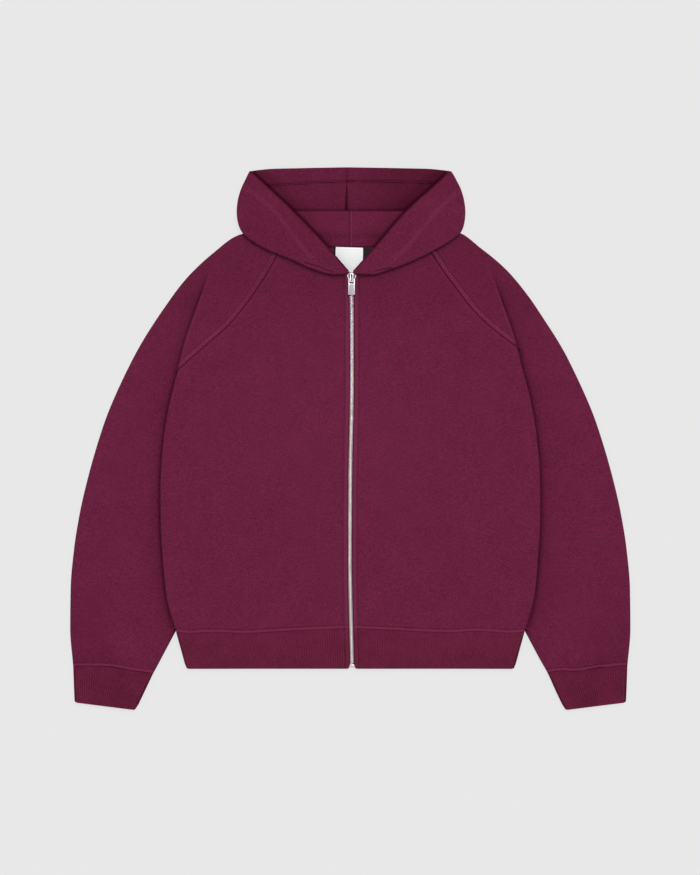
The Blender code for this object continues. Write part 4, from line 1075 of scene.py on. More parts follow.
def cuff_seam(side):
    (outer, _), (inner, _) = CUFF.values()
    line = np.linspace(outer, inner, 40) * (SIDES[side], 1.0)
    line[:, 1] += seam_wave("cuff", line[:, 0])
    return line


def hem_seam(side, x):
    """Y of the front's hem seam."""
    end = float(hidden_edge(side, HEM_SEAM_Y)) - LIFT_RAMP
    return HEM_SEAM_Y + hem_rise(abs(x), end) + seam_wave("hem", x)


def drawn(grid, kind, away, share=1.0):
    """A grid whose cloth is drawn along with a seam; away is its distance from that seam."""
    grid = grid.copy()
    grid[..., 1] += share * seam_wave(kind, grid[..., 0]) * smooth(1.0 - away / WAVE_REACH)
    return grid


def straight_cuff_distance(side, grid):
    (outer, _), (inner, _) = CUFF.values()
    outer, inner = (np.array(end) * (SIDES[side], 1.0) for end in (outer, inner))
    way = (inner - outer) / np.linalg.norm(inner - outer)
    return abs((grid[..., 0] - outer[0]) * way[1] - (grid[..., 1] - outer[1]) * way[0])


def front_relief(side, x, y):
    """What is moved into a front: folds, the seams round it and the sewing beside the zip."""
    height = fold_height(x, y) + gather_height(f"hem_{side}", x, y)
    away = distance_to(raglan_line(side), x, y)
    height += seam_dip(away)
    above = y - hem_seam(side, x)
    height += gathered_ridge(above, 0.0011)
    from_zip = SIDES[side] * (x - zip_line(y))
    height += 0.0005 * smooth(1.0 - (from_zip - PLACKET) / 0.0012)
    height -= 0.0006 * bell(from_zip - PLACKET, 0.001)
    height += 0.0002 * np.sin(y * 190 + 1.3 * np.sin(y * 57)) * bell(from_zip - PLACKET, 0.006)
    height -= 0.0012 * bell(from_zip - ZIP_HALF_OPENING, 0.0014)
    return height


def front_shade(side, x, y):
    """Painted shade in the front's seams, along its sewing and at the zip's edge, and painted highlight
    beside the raglan seam and between the zip and its sewing, over the broad painted shading.
    """
    away = distance_to(raglan_line(side), x, y)
    above = y - hem_seam(side, x)
    from_zip = SIDES[side] * (x - zip_line(y))
    shade = painted_broad_shading(x, y) + SEAM_SHADE * bell(away, 0.0011) - 0.16 * bell(away - 0.0036, 0.0016)
    shade += ridge_shade_and_highlight("hem", x, above, 0.001)
    shade += pucker_shade("hem", 1, x) * bell(above, 0.0007) + 0.72 * bell(from_zip - PLACKET, 0.0009)
    return shade + 0.85 * bell(from_zip - ZIP_HALF_OPENING, 0.0007) - placket_highlight(from_zip)


def build_fronts(cloth):
    for side in SIDES:
        grid, facing = front_grid(side)
        grid, _, knots, facing = refined(grid, (0.005, 0.0027), ((0.012, 0.0011), (0.0, 1.0)),
                                         ((0.016, 0.001), (0.008, 0.0011)), facing)
        grid = drawn(grid, "hem", abs(grid[..., 1] - HEM_SEAM_Y))
        grid = lifted(grid, lambda x, y: cloth.fold_strength * front_relief(side, x, y))
        item = cloth_piece(f"front_{side}_cloth", grid, FLEECE, knots, facing,
                           shade=front_shade(side, *xy(grid)))
        finish_piece(item, fleece_look(cloth), nodes=[f"front_{side}"])


def build_back(cloth):
    grid, facing = back_grid()
    grid, _, knots, facing = refined(grid, (0.012, 0.009), facing=facing)
    item = cloth_piece("back_cloth", grid, FLEECE, knots, facing)
    finish_piece(item, fleece_look(cloth), nodes=["back"])


def crease_distance(side, x, y):
    """How far each place is outside the body's folded side, or the crease that it turns into."""
    steep = np.gradient(side_edge(np.array([0.0, 0.2])), 0.2)[0]
    return (SIDES[side] * x - side_edge(y)) / math.sqrt(1 + steep**2)


def sleeve_relief(side, x, y):
    """What is moved into a sleeve: folds, the seam allowance along the raglan, the cuff's seam."""
    height = fold_height(x, y) + gather_height(f"cuff_{side}", x, y)
    away = distance_to(raglan_line(side), x, y)
    beyond = crease_distance(side, x, y)
    height += (seam_dip(away) + sewn_band(away)) * (1.0 - smooth(beyond / 0.003 + 0.5))
    away = distance_to(cuff_seam(side), x, y)
    height += gathered_ridge(away, 0.0012)
    step = smooth((y - 0.115) / 0.02) * (1.0 - smooth((y - CREASE_TOP) / 0.07))
    return height + step * (0.0012 * bell(beyond + 0.0018, 0.003) - 0.0022 * bell(beyond - 0.0026, 0.0034))


def sleeve_shade(side, x, y):
    """Painted shade on the sleeve beside the body that lies on it, under its crease and at its seams, and
    painted highlight on the seam allowance's band and just inside the crease.
    """
    away = distance_to(raglan_line(side), x, y)
    cuff = distance_to(cuff_seam(side), x, y)
    beyond = crease_distance(side, x, y)
    fade = 1.0 - smooth((y - CREASE_TOP) / 0.075)
    outside = smooth(beyond / 0.0014 + 0.5) * fade
    beyond = np.clip(beyond, 0.0, 1.0)
    crease = outside * (0.84 * np.exp(-beyond / 0.0032) + 0.26 * np.exp(-beyond / 0.02))
    inner = smooth((crease_distance(side, x, y) + 0.0046) / 0.002) * (1.0 - outside)
    inner = inner * smooth((y - 0.1) / 0.02)
    band = 0.42 * between(away, 0.0014, BAND["width"], 0.0014)
    band = band - 0.45 * bell(away - BAND["width"] - 0.0008, 0.0008)
    rows = sum(0.4 * bell(away - row, 0.0007) for row in BAND["rows"])
    seam = ridge_shade_and_highlight("cuff", x, cuff, 0.0011)
    seam += pucker_shade("cuff", 1, x) * bell(cuff, 0.0008) + 0.1 * bell(cuff - 0.012, 0.008)
    band = (rows - band) * (1.0 - BAND_FADE[side] * smooth((y - 0.165) / 0.06))
    raglan = (1.0 - outside) * (SEAM_SHADE * bell(away, 0.0011) + band)
    return painted_broad_shading(x, y) + crease - 0.2 * inner * fade + raglan + seam


# The tuck there: how far the sleeve's corner goes in and down, and its edge along the rest of the seam
TUCK = {"in": 0.0036, "down": 0.0026, "seam": 0.0004}


def tucked(side, grid):
    """The sleeve drawn close to the front at its seam, its underarm corner in under the front's edge."""
    sign = SIDES[side]
    line = raglan_line(side)
    top = smooth((grid[..., 2] - 0.005) / 0.002)
    corner = top * bell(np.hypot(grid[..., 0] - line[-1, 0], grid[..., 1] - line[-1, 1]), 0.011)
    away = distance_to(line, *xy(grid))
    pull = TUCK["in"] * corner + TUCK["seam"] * top * bell(away, 0.0016)
    grid = grid.copy()
    grid[..., 0] -= sign * pull
    grid[..., 1] -= pull
    grid[..., 2] -= TUCK["down"] * corner
    return grid


# The wad: how far in towards the zip and down towards the hem from the seam's end, and its size
WAD = {"in": 0.0012, "down": 0.007, "z": 0.0056, "radii": (0.0042, 0.0062, 0.0034)}


def underarm_fold(side):
    """The small wad of cloth in the corner of the underarm, deep under the front's edge, painted fully dark
    as the painted shade of that gap.
    """
    x, y = underarm(side)
    bpy.ops.mesh.primitive_uv_sphere_add(segments=20, ring_count=12, radius=1.0)
    item = bpy.context.object
    middle = Vector((SIDES[side] * (x - WAD["in"]), y - WAD["down"], WAD["z"]))
    for vertex in item.data.vertices:
        vertex.co = middle + vertex.co * Vector(WAD["radii"])
    # painted shade: the whole wad is as dark as a seam at its deepest
    dark = item.data.attributes.new("shade", "FLOAT", "POINT")
    dark.data.foreach_set("value", [SEAM_SHADE] * len(item.data.vertices))
    item.data.shade_smooth()
    return item


def build_sleeves(cloth):
    for side in SIDES:
        grid, facing = sleeve_grid(side)
        grid, _, knots, facing = refined(grid, (0.0058, 0.0027), ((0.0, 1.0), (0.012, 0.0012)),
                                         ((0.012, 0.0011), (0.002, 0.0011)), facing)
        grid = drawn(grid, "cuff", straight_cuff_distance(side, grid))
        grid = lifted(grid, lambda x, y: cloth.fold_strength * sleeve_relief(side, x, y))
        grid = tucked(side, grid)
        item = cloth_piece(f"sleeve_{side}_cloth", grid, FLEECE, knots, facing, up=(grid.shape[0] // 2, 8),
                           shade=sleeve_shade(side, *xy(grid)))
        item = joined(item, underarm_fold(side))
        finish_piece(item, fleece_look(cloth), nodes=[f"sleeve_{side}"])


RIB_STEPS = (0.005, WALE_PITCH / 5)  # usual step of a rib piece's rows and of its columns
RIB_ENDS = ((0.006, 0.0012), (0.006, 0.0012))


def rib_profile(column_place, ranges):
    """Height of the ribs at each column: round tops with narrow valleys, where the ribs are."""
    wave = 0.5 - 0.5 * np.cos(np.pi * column_place)
    inside = sum(((column_place >= low) & (column_place <= high)).astype(float) for low, high in ranges)
    return WALE_HEIGHT * np.sqrt(np.clip(wave, 0.0, 1.0)) * np.clip(inside, 0.0, 1.0)


def rib_shade(profile, away):
    """Painted shade in the valleys between ribs, away from the seam."""
    return 0.6 * (0.5 - profile / WALE_HEIGHT) * smooth((away - 0.002) / 0.012)


def corner_lift(distance, radius=0.004):
    """How far an edge draws back near its corner, to round it."""
    short = np.clip(radius - distance, 0.0, radius)
    return radius - np.sqrt(radius**2 - short**2)


def build_hem_band(cloth):
    grid, ribs = hem_grid()
    total = grid.shape[1] - 1
    grid, places, knots, _ = refined(grid, RIB_STEPS, RIB_ENDS)
    top = upper_layer(grid)
    grid = drawn(grid, "hem", abs(grid[..., 1] - HEM_SEAM_Y), top)
    x, y = xy(grid)
    side = np.where(x < 0, -1.0, 1.0)
    from_zip = side * (x - zip_line(y))
    from_side = abs(x).max(axis=1, keepdims=True) - abs(x)
    end = smooth(1.0 - (y - HEM_END_Y) / 0.009)
    y = y + end * (top * corner_lift(from_zip - ZIP_HALF_OPENING) + corner_lift(from_side))
    y = y + end * (1.0 - top) * 0.006 * bell(x - 0.0028, 0.05)
    grid[..., 1] = y
    seam = np.where(x < 0, hem_seam("right", x), hem_seam("left", x))
    below = np.where(top > 0.5, seam, HEM_SEAM_Y) - y
    grid[..., 2] += top * (0.4 * fold_height(x, y) - 0.0008 * bell(below - 0.0002, 0.0016))
    grid[..., 2] += top * 0.0003 * np.sin(x * 61 + 1.1 * np.sin(x * 23)) * smooth(1.0 - below / 0.04)
    grid[..., 2] -= top * 0.0006 * bell(from_zip - PLACKET, 0.001)
    profile = rib_profile(places[1], ((0, 2 * ribs), (total - 2 * ribs, total)))
    profile = profile[None, :] * smooth((below + 0.001) / 0.006)
    profile = profile * (0.25 + 0.75 * smooth((from_zip - PLACKET - 0.0008) / 0.0012))
    # Painted shade along the seam, along the sewing beside the zip and in the rib valleys, growing towards
    # the band's lower edge; painted highlight between the zip and its sewing.
    shade = pucker_shade("hem", 1, x) * 0.9 * bell(below, 0.0012) + 0.7 * bell(from_zip - PLACKET, 0.001)
    shade += 0.1 * smooth(below / 0.055) + rib_shade(profile, below) - placket_highlight(from_zip)
    item = cloth_piece("hem_band_cloth", grid, RIB, knots, ribs=profile, up=(1, 20), shade=shade)
    finish_piece(item, rib_look(cloth), nodes=["hem_band"])


def build_cuffs(cloth):
    for side in SIDES:
        grid, ribs = cuff_grid(side)
        grid, places, knots, _ = refined(grid, RIB_STEPS, RIB_ENDS, closed=True)
        grid = drawn(grid, "cuff", straight_cuff_distance(side, grid))
        from_side = np.minimum(grid[..., 0] - grid[..., 0].min(axis=1, keepdims=True),
                               grid[..., 0].max(axis=1, keepdims=True) - grid[..., 0])
        end = smooth(1.0 - (knots[0][-1] - knots[0]) / 0.009)[:, None]
        grid[..., 1] += end * corner_lift(from_side, 0.0036)
        top = upper_layer(grid)
        away = distance_to(cuff_seam(side), *xy(grid))
        grid[..., 2] += top * (0.5 * fold_height(*xy(grid)) - 0.0008 * bell(away, 0.0016))
        profile = rib_profile(places[1], ((0, 2 * ribs),))[None, :] * smooth((away + 0.001) / 0.006)
        # Painted shade along the seam and in the rib valleys, over a slight darkening of the whole cuff, and
        # darker towards the cuff's end near its middle.
        lower = bell(away - 0.048, 0.022) * bell(abs(grid[..., 0]) - 0.375, 0.03)
        shade = 0.14 + pucker_shade("cuff", 1, grid[..., 0]) * 0.9 * bell(away, 0.0014) + 0.16 * lower
        shade += rib_shade(profile, away)
        item = cloth_piece(f"cuff_{side}_cloth", grid, RIB, knots, closed=True, ribs=profile, up=(1, 20),
                           shade=shade)
        finish_piece(item, rib_look(cloth), nodes=[f"cuff_{side}"])


def hood_line(table, side, count=60):
    return curve_of(points_of(table[side]), count) * (SIDES[side], 1.0)


def hood_hem_line(side):
    return hood_line(HOOD_HEM, side, 80)


def crown_hem_y(x):
    return through(CROWN_HEM["x"], CROWN_HEM["y"], x)


def flap_distances(side, x, y):
    """Distances from the hood's opening, from the sewing along it and from the flap's tuck."""
    lines = hood_line(HOOD_OPENING, side), hood_hem_line(side), curve_of(TUCKS[side], 12)
    return [distance_to(line, x, y) for line in lines]


def flap_relief(side, x, y):
    """What is moved into the folded-back part of the hood: its turned hem and soft folds."""
    away, row, tuck = flap_distances(side, x, y)
    height = 0.6 * fold_height(x, y) + 0.0006 * smooth(1.0 - (away - TURN_WIDTH) / 0.002)
    return height - 0.0007 * bell(row, 0.0012) - 0.0007 * bell(away, 0.002) - 0.0008 * bell(tuck, 0.0016)


def inside_relief(side, x, y):
    """What is moved into the hood's inside: the crown's slope and hem, and the centre seam."""
    opening = HOOD_OPENING[side]
    edge = np.interp(y, opening["y"], opening["x"])
    shown = smooth((edge - abs(x) - 0.003) / 0.03)
    crown = smooth((y - NECK_FOLD_Y) / 0.004)
    height = CROWN_TILT * smooth((y - 0.352) / 0.08) * shown
    over = y - crown_hem_y(x)
    height += crown * (0.0007 * smooth(over / 0.0014) - 0.0007 * bell(over, 0.0012))
    height -= crown * 0.0014 * bell(x - crown_seam_x(y), 0.0016 + 0.01 * np.clip(0.405 - y, 0.0, 0.04))
    height += (1.0 - crown) * 0.0004 * bell(x, 0.0012)
    return height + 0.5 * fold_height(x * 1.3, y * 1.6)


def hood_shade(side, x, y, inside):
    """Painted shade on the hood: along its sewing and tuck, by the flaps' edges, in the crown's seam and
    above the fold, with the inside also a little darker as the back of the fleece; and painted highlight
    beside the sewing, the tuck and the neck's centre seam.
    """
    away, row, tuck = flap_distances(side, x, y)
    crown = smooth((y - NECK_FOLD_Y) / 0.0012)
    wedge = 0.55 + 0.85 * smooth((0.41 - y) / 0.006)
    over = y - crown_hem_y(x)
    deep = crown * (0.16 + 0.28 * smooth(x / 0.09) + 0.1 * smooth((NECK_FOLD_Y + 0.03 - y) / 0.03)
                    + wedge * bell(x - crown_seam_x(y), 0.001 + 0.034 * np.clip(0.408 - y, 0.0, 0.04)))
    deep += crown * (0.95 * bell(over, 0.0013) + 0.5 * bell(y - NECK_FOLD_Y - 0.0012, 0.0022))
    deep += 0.8 * bell(away, 0.0036) + 0.24 * bell(away, 0.019)
    deep += (1 - crown) * (0.06 + 0.55 * bell(x + 0.0014, 0.001) - 1.0 * bell(x - 0.0008, 0.0011))
    flap = FLAP_TONE[side] + 0.45 * bell(row, 0.0009) - 0.35 * bell(row - 0.0024, 0.0012)
    flap = flap + 0.88 * bell(away, 0.0022)
    flap = flap + 0.8 * bell(tuck, 0.0012) - 0.25 * bell(tuck - 0.0026, 0.0014)
    return np.where(inside, deep, flap)


def hood_rim(places, grid):
    """A grid of the hood whose last row lies on the rim, and whose crown lies to one side."""
    grid = grid.copy()
    last = grid[-1]
    rise = through(HOOD_RIM["x"], HOOD_RIM["y"], abs(last[:, 0])) - last[:, 1]
    share = np.clip(places - (places[-1] - 1.0), 0.0, 1.0) ** 2
    grid[..., 1] += share[:, None] * rise[None, :]
    crown = smooth(places - (places[-1] - len(HOOD_CROWN_ROWS)))
    near = smooth(1.0 - abs(grid[..., 0]) / 0.13)
    grid[..., 0] += crown[:, None] * near * crown_seam_x(grid[..., 1])
    return grid


def build_hood(cloth):
    for side, sign in SIDES.items():
        grid, kept = hood_grid(side)
        grid[:, -1, 0] = sign * 0.00005
        front, seam = len(HOOD_FRONT_ROWS), len(HOOD_SEAM_X)
        for row in range(front - 1, -1, -1):
            grid[row, -seam:] = 2 * grid[row + 1, -seam:] - grid[row + 2, -seam:]
        grid, places, knots, _ = refined(grid, (0.0026, 0.0028), PLAIN, ((0.0, 1.0), (0.005, 0.001)))
        grid = hood_rim(places[0], grid)
        row = np.minimum(places[0][:-1].astype(int), kept.shape[0] - 1)
        column = np.minimum(places[1][:-1].astype(int), kept.shape[1] - 1)
        square = grid_normals(grid)
        up = square[..., 2] * np.sign(square[grid.shape[0] // 2, 3, 2])
        flap = (places[1] < FLAP_END)[None, :]
        x, y = xy(grid)
        rise = np.where(flap, upward(up) * flap_relief(side, x, y), upward(-up) * inside_relief(side, x, y))
        grid[..., 2] += cloth.fold_strength * rise
        item = cloth_piece(f"hood_{side}_cloth", grid, FLEECE, knots, kept=kept[np.ix_(row, column)],
                           up=(10, 3), shade=hood_shade(side, x, y, ~flap & (up < 0)))
        finish_piece(item, fleece_look(cloth), nodes=[f"hood_{side}"])


def only(*items):
    """Select these pieces and nothing else; the first is the active one."""
    bpy.ops.object.select_all(action="DESELECT")
    for item in items:
        item.select_set(True)
    bpy.context.view_layer.objects.active = items[0]


def object_mode():
    bpy.ops.object.mode_set(mode="OBJECT")


def apply_transform():
    bpy.ops.object.transform_apply(location=True, rotation=True, scale=True)


def block(name, low, high):
    """A cube from one corner to the other, the only thing selected."""
    bpy.ops.object.select_all(action="DESELECT")
    low, high = Vector(low), Vector(high)
    bpy.ops.mesh.primitive_cube_add(size=1.0, location=(low + high) / 2, scale=high - low)
    item = bpy.context.object
    item.name = item.data.name = name
    apply_transform()
    return item


def selected(item, kind, chosen):
    """Go into edit mode with what passes the test selected."""
    only(item)
    bpy.ops.object.mode_set(mode="EDIT")
    bpy.ops.mesh.select_mode(type=kind)
    bpy.ops.mesh.select_all(action="DESELECT")
    shape = bmesh.from_edit_mesh(item.data)
    for part in {"VERT": shape.verts, "EDGE": shape.edges, "FACE": shape.faces}[kind]:
        part.select_set(bool(chosen(part)))
    shape.select_flush_mode()
    bmesh.update_edit_mesh(item.data)


def apply_step(item, kind, **settings):
    step = item.modifiers.new(kind.lower(), kind)
    for name, value in settings.items():
        setattr(step, name, value)
    only(item)
    bpy.ops.object.modifier_apply(modifier=step.name)


def cut_away(item, *tools):
    """Take the shape of each tool out of the piece."""
    for tool in tools:
        apply_step(item, "BOOLEAN", operation="DIFFERENCE", solver="EXACT", object=tool)
        bpy.data.objects.remove(tool)


def joined(item, *others):
    only(item, *others)
    bpy.ops.object.join()
    return item


def rounded(item, width, segments=2, angle=32):
    apply_step(item, "BEVEL", width=width, segments=segments, limit_method="ANGLE",
               angle_limit=math.radians(angle), use_clamp_overlap=True)
    only(item)
    bpy.ops.object.shade_smooth_by_angle(angle=math.radians(38))
    return item


def tapered_block(name, centre_x, widths, low, high):
    """A block whose half width follows widths, as (y, half width) from its far end to its near one."""
    widest = max(half for _, half in widths)
    item = block(name, (centre_x - widest, widths[-1][0], low), (centre_x + widest, widths[0][0], high))
    selected(item, "VERT", lambda part: True)
    for y, _ in widths[1:-1]:
        bpy.ops.mesh.select_all(action="SELECT")
        bpy.ops.mesh.bisect(plane_co=(0.0, y, 0.0), plane_no=(0.0, 1.0, 0.0))
    object_mode()
    for y, half in widths:
        selected(item, "VERT", lambda part: abs(part.co.y - y) < 1e-5)
        bpy.ops.transform.resize(value=(half / widest, 1.0, 1.0), center_override=(centre_x, y, low))
        object_mode()
    return item


def corners_of(item):
    return np.array([vertex.co[:] for vertex in item.data.vertices])


def second_look(item, look, chosen):
    """Give the faces whose middle passes the test a material of their own."""
    item.data.materials.append(look)
    for face in item.data.polygons:
        if chosen(face.center):
            face.material_index = 1


# Outline of the slider's plates from the top down, and the places of its bridge
SLIDER_WIDTHS = ((0.2652, 0.0026), (0.2642, 0.0048), (0.2622, 0.0068), (0.2602, 0.0074), (0.2582, 0.0066),
                 (0.2556, 0.0055), (0.2476, 0.0048), (0.2466, 0.0038))
SLIDER_Z = {"lower": (0.0058, 0.0068), "upper": (0.0112, 0.0128), "bridge": (0.0164, 0.015)}


def build_slider(metal):
    """Two plates joined by a post, with a bridge over the upper one and a flange down each side."""
    x = ZIP_TOP_X
    upper = tapered_block("zip_slider_metal", x, SLIDER_WIDTHS, *SLIDER_Z["upper"])
    cut_away(upper, block("tool", (x - 0.0051, 0.2568, 0.0121), (x + 0.0051, 0.263, 0.014)),
             block("tool", (x - 0.0033, 0.244, 0.0121), (x + 0.0033, 0.264, 0.014)))
    lower = tapered_block("lower", x, SLIDER_WIDTHS, *SLIDER_Z["lower"])
    post = block("post", (x - 0.0015, 0.2622, 0.006), (x + 0.0015, 0.2646, 0.012))
    roof, under = SLIDER_Z["bridge"]
    bridge = block("bridge", (x - 0.0029, 0.25, 0.0119), (x + 0.0029, 0.2642, roof))
    cut_away(bridge, block("tool", (x - 0.004, 0.2514, 0.011), (x + 0.004, 0.2626, under)),
             block("tool", (x - 0.0008, 0.2514, roof - 0.0006), (x + 0.0008, 0.2628, 0.02)))
    flanges = [block("flange", (middle - 0.0005, 0.2505, 0.0066), (middle + 0.0005, 0.259, 0.0082))
               for middle in (x - 0.0048, x + 0.0048)]
    for part in (upper, lower, post, bridge, *flanges):
        rounded(part, 0.0003)
    item = joined(upper, lower, post, bridge, *flanges)
    finish_piece(item, metal_look(metal), nodes=["zip_slider"])
    # Painted shade: the sunk floor of the upper plate and the bridge's slot get a dark copy of the metal.
    second_look(item, metal_look(metal, "shaded_metal", 0.16), lambda spot: (
        abs(spot.x - x) < 0.005 and 0.0119 < spot.z < 0.0124
        or abs(spot.x - x) < 0.0009 and under < spot.z < roof - 0.0004))


def build_pull(metal):
    """The tab: a bar with a hole above, that hangs on the bridge, and a sunk panel in a raised frame."""
    x, z = ZIP_TOP_X, HINGE_Z
    item = block("zip_pull_metal", (x - 0.0053, 0.2298, z - 0.0007), (x + 0.0053, 0.2549, z + 0.0007))
    selected(item, "EDGE", lambda part: abs(part.verts[0].co.z - part.verts[1].co.z) > 0.001)
    bpy.ops.mesh.bevel(offset=0.001, segments=3)
    object_mode()
    cut_away(item, block("tool", (x - 0.0033, 0.2478, z - 0.01), (x + 0.0033, 0.2537, z + 0.01)),
             block("tool", (x - 0.0031, 0.228, z + 0.0003), (x + 0.0031, 0.2456, z + 0.01)),
             block("tool", (x - 0.0031, 0.228, z - 0.01), (x + 0.0031, 0.2456, z - 0.0003)))
    rounded(item, 0.0002)
    finish_piece(item, metal_look(metal), body="pull", nodes=["zip_pull"])
    second_look(item, metal_look(metal, "panel_metal", 1.0),
                lambda spot: abs(spot.x - x) < 0.0031 and spot.y < 0.2456 and abs(spot.z - z) < 0.0004)


TOOTH_PITCH = 0.0032
TOOTH_LENGTH = 0.00165
TOOTH_REACH = 0.0031  # how far out a tooth goes on its own side, and next how far past the middle
TOOTH_PAST = 0.001


def build_teeth(metal):
    """One tooth, repeated up each side of the closed zip, the two sides half a pitch apart."""
    low, high = CHAIN["z"] - CHAIN["thickness"] / 2, CHAIN["z"] + CHAIN["thickness"] / 2
    count = int((CHAIN["top"] - CHAIN["bottom"]) / TOOTH_PITCH)
    for name, sign in SIDES.items():
        start = CHAIN["bottom"] + (0.5 if sign > 0 else 0.0) * TOOTH_PITCH
        near, far = sorted((sign * -TOOTH_PAST, sign * TOOTH_REACH))
        item = block(f"zip_teeth_{name}", (near, start, low), (far, start + TOOTH_LENGTH, high))
        selected(item, "EDGE", lambda part: all(end.co.z > low + 1e-4 for end in part.verts))
        bpy.ops.mesh.bevel(offset=0.0004, segments=1)
        object_mode()
        apply_step(item, "ARRAY", count=count - (1 if sign > 0 else 0), use_relative_offset=False,
                   use_constant_offset=True, constant_offset_displace=(0.0, TOOTH_PITCH, 0.0))
        places = corners_of(item)
        places[:, 0] += zip_line(places[:, 1])
        places[:, 2] += neck_rise(places[:, 0], places[:, 1])
        item.data.vertices.foreach_set("co", places.ravel())
        finish_piece(item, teeth_look(metal))
    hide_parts("zip_chain")


def build_stop(metal):
    """The box and pin at the zip's lower end."""
    low, high = zip(BOTTOM_STOP["x"], BOTTOM_STOP["y"], BOTTOM_STOP["z"])
    item = rounded(block("zip_box_metal", low, high), 0.00045)
    finish_piece(item, metal_look(metal), nodes=["zip_bottom_stop"])


def build_tapes(metal):
    for side in SIDES:
        grid, _, knots, _ = refined(tape_grid(side), (0.008, 0.003))
        item = cloth_piece(f"zip_tape_{side}_cloth", grid, TAPE["thickness"], knots)
        finish_piece(item, tape_look(metal), nodes=[f"zip_tape_{side}"])


def build_labels(cloth):
    """The two bare labels, each with a plain woven border."""
    for name, border, slot in (("neck_label", 0.0026, "white_label"), ("size_label", 0.0016, "black_label")):
        grid = label_grid(LABELS[name]["corners"], LABELS[name]["z"])
        grid, _, knots, _ = refined(grid, (0.0012, 0.0012))
        u, v = knots[1][None, :], knots[0][:, None]
        inside = np.minimum(np.minimum(u, u[0, -1] - u), np.minimum(v, v[-1, 0] - v))
        grid[..., 2] += 0.00018 * smooth(1.0 - (inside - border) / 0.0006)
        grid[..., 2] += 0.00012 * np.sin(grid[..., 0] * 140 + 1.0) * np.sin(grid[..., 1] * 110)
        item = cloth_piece(f"{name}_cloth", grid, LABELS[name]["thickness"], knots)
        finish_piece(item, label_look(name, slot, cloth, False), nodes=[name])
        item.data.materials.append(label_look(name, slot, cloth, True))
        for face in item.data.polygons:
            spots = [item.data.uv_layers[0].data[loop].uv for loop in face.loop_indices]
            u = sum(spot[0] for spot in spots) / len(spots)
            v = sum(spot[1] for spot in spots) / len(spots)
            edge = min(u, knots[1][-1] - u, v, knots[0][-1] - v)
            face.material_index = int(edge < border)


ABOVE = 0.06  # a height clear of every piece
STITCH = {"length": 0.0022, "half": 0.0004, "pitch": 0.0036}


def stitch_model():
    """Corners and faces of one stitch along X: a short thread whose ends dip into the cloth."""
    half = STITCH["length"] / 2
    bpy.ops.object.select_all(action="DESELECT")
    bpy.ops.mesh.primitive_cylinder_add(vertices=5, radius=STITCH["half"], depth=2 * half,
                                        rotation=(0.0, math.pi / 2, 0.0))
    item = bpy.context.object
    apply_transform()
    selected(item, "VERT", lambda part: True)
    for x in (-0.55 * half, 0.55 * half):
        bpy.ops.mesh.select_all(action="SELECT")
        bpy.ops.mesh.bisect(plane_co=(x, 0.0, 0.0), plane_no=(1.0, 0.0, 0.0))
    object_mode()
    for end in (-half, half):
        selected(item, "VERT", lambda part: abs(part.co.x - end) < 1e-6)
        bpy.ops.transform.resize(value=(1.0, 0.6, 0.6), center_override=(end, 0.0, 0.0))
        bpy.ops.transform.translate(value=(0.0, 0.0, -0.00022))
        object_mode()
    points = corners_of(item)
    faces = [list(face.vertices) for face in item.data.polygons]
    bpy.data.objects.remove(item)
    return points, faces


def beside(line, distance):
    """A row of places at this distance to the left of a line, seen along it."""
    line = np.asarray(line)[:, :2]
    way = np.gradient(line, axis=0)
    way /= np.linalg.norm(way, axis=1, keepdims=True)
    return line + distance * np.column_stack([-way[:, 1], way[:, 0]])


def build_stitches(name, rows, under, thread):
    """Copies of one stitch, set end to end on the piece below along rows of (x, y)."""
    model, model_faces = stitch_model()
    mesh = bpy.data.objects[under].data
    surface = BVHTree.FromPolygons([vertex.co.copy() for vertex in mesh.vertices],
                                   [list(face.vertices) for face in mesh.polygons])
    points, faces = [], []
    for row in rows:
        run = distances(np.linalg.norm(np.diff(row, axis=0), axis=1))
        for place in np.arange(STITCH["pitch"] / 2, run[-1], STITCH["pitch"]):
            x, y = (float(np.interp(place, run, row[:, axis])) for axis in (0, 1))
            ahead = [float(np.interp(place + 0.0005, run, row[:, axis])) for axis in (0, 1)]
            spot, up, *_ = surface.ray_cast(Vector((x, y, ABOVE)), Vector((0.0, 0.0, -1.0)))
            if spot is None or up.z < 0.3:
                continue
            way = Vector((ahead[0] - x, ahead[1] - y, 0.0))
            way = (way - up * way.dot(up)).normalized()
            turn = np.array([way[:], up.cross(way)[:], up[:]])
            start = len(points) * len(model)
            points.append(model @ turn + np.array(spot[:]) + np.array(up[:]) * 0.00006)
            faces.extend([start + index for index in face] for face in model_faces)
    item = new_piece(name, np.concatenate(points), faces)
    item.data.shade_smooth()
    return finish_piece(item, thread)


def placket_row(sign, y):
    return np.column_stack([zip_line(y) + sign * PLACKET, y])


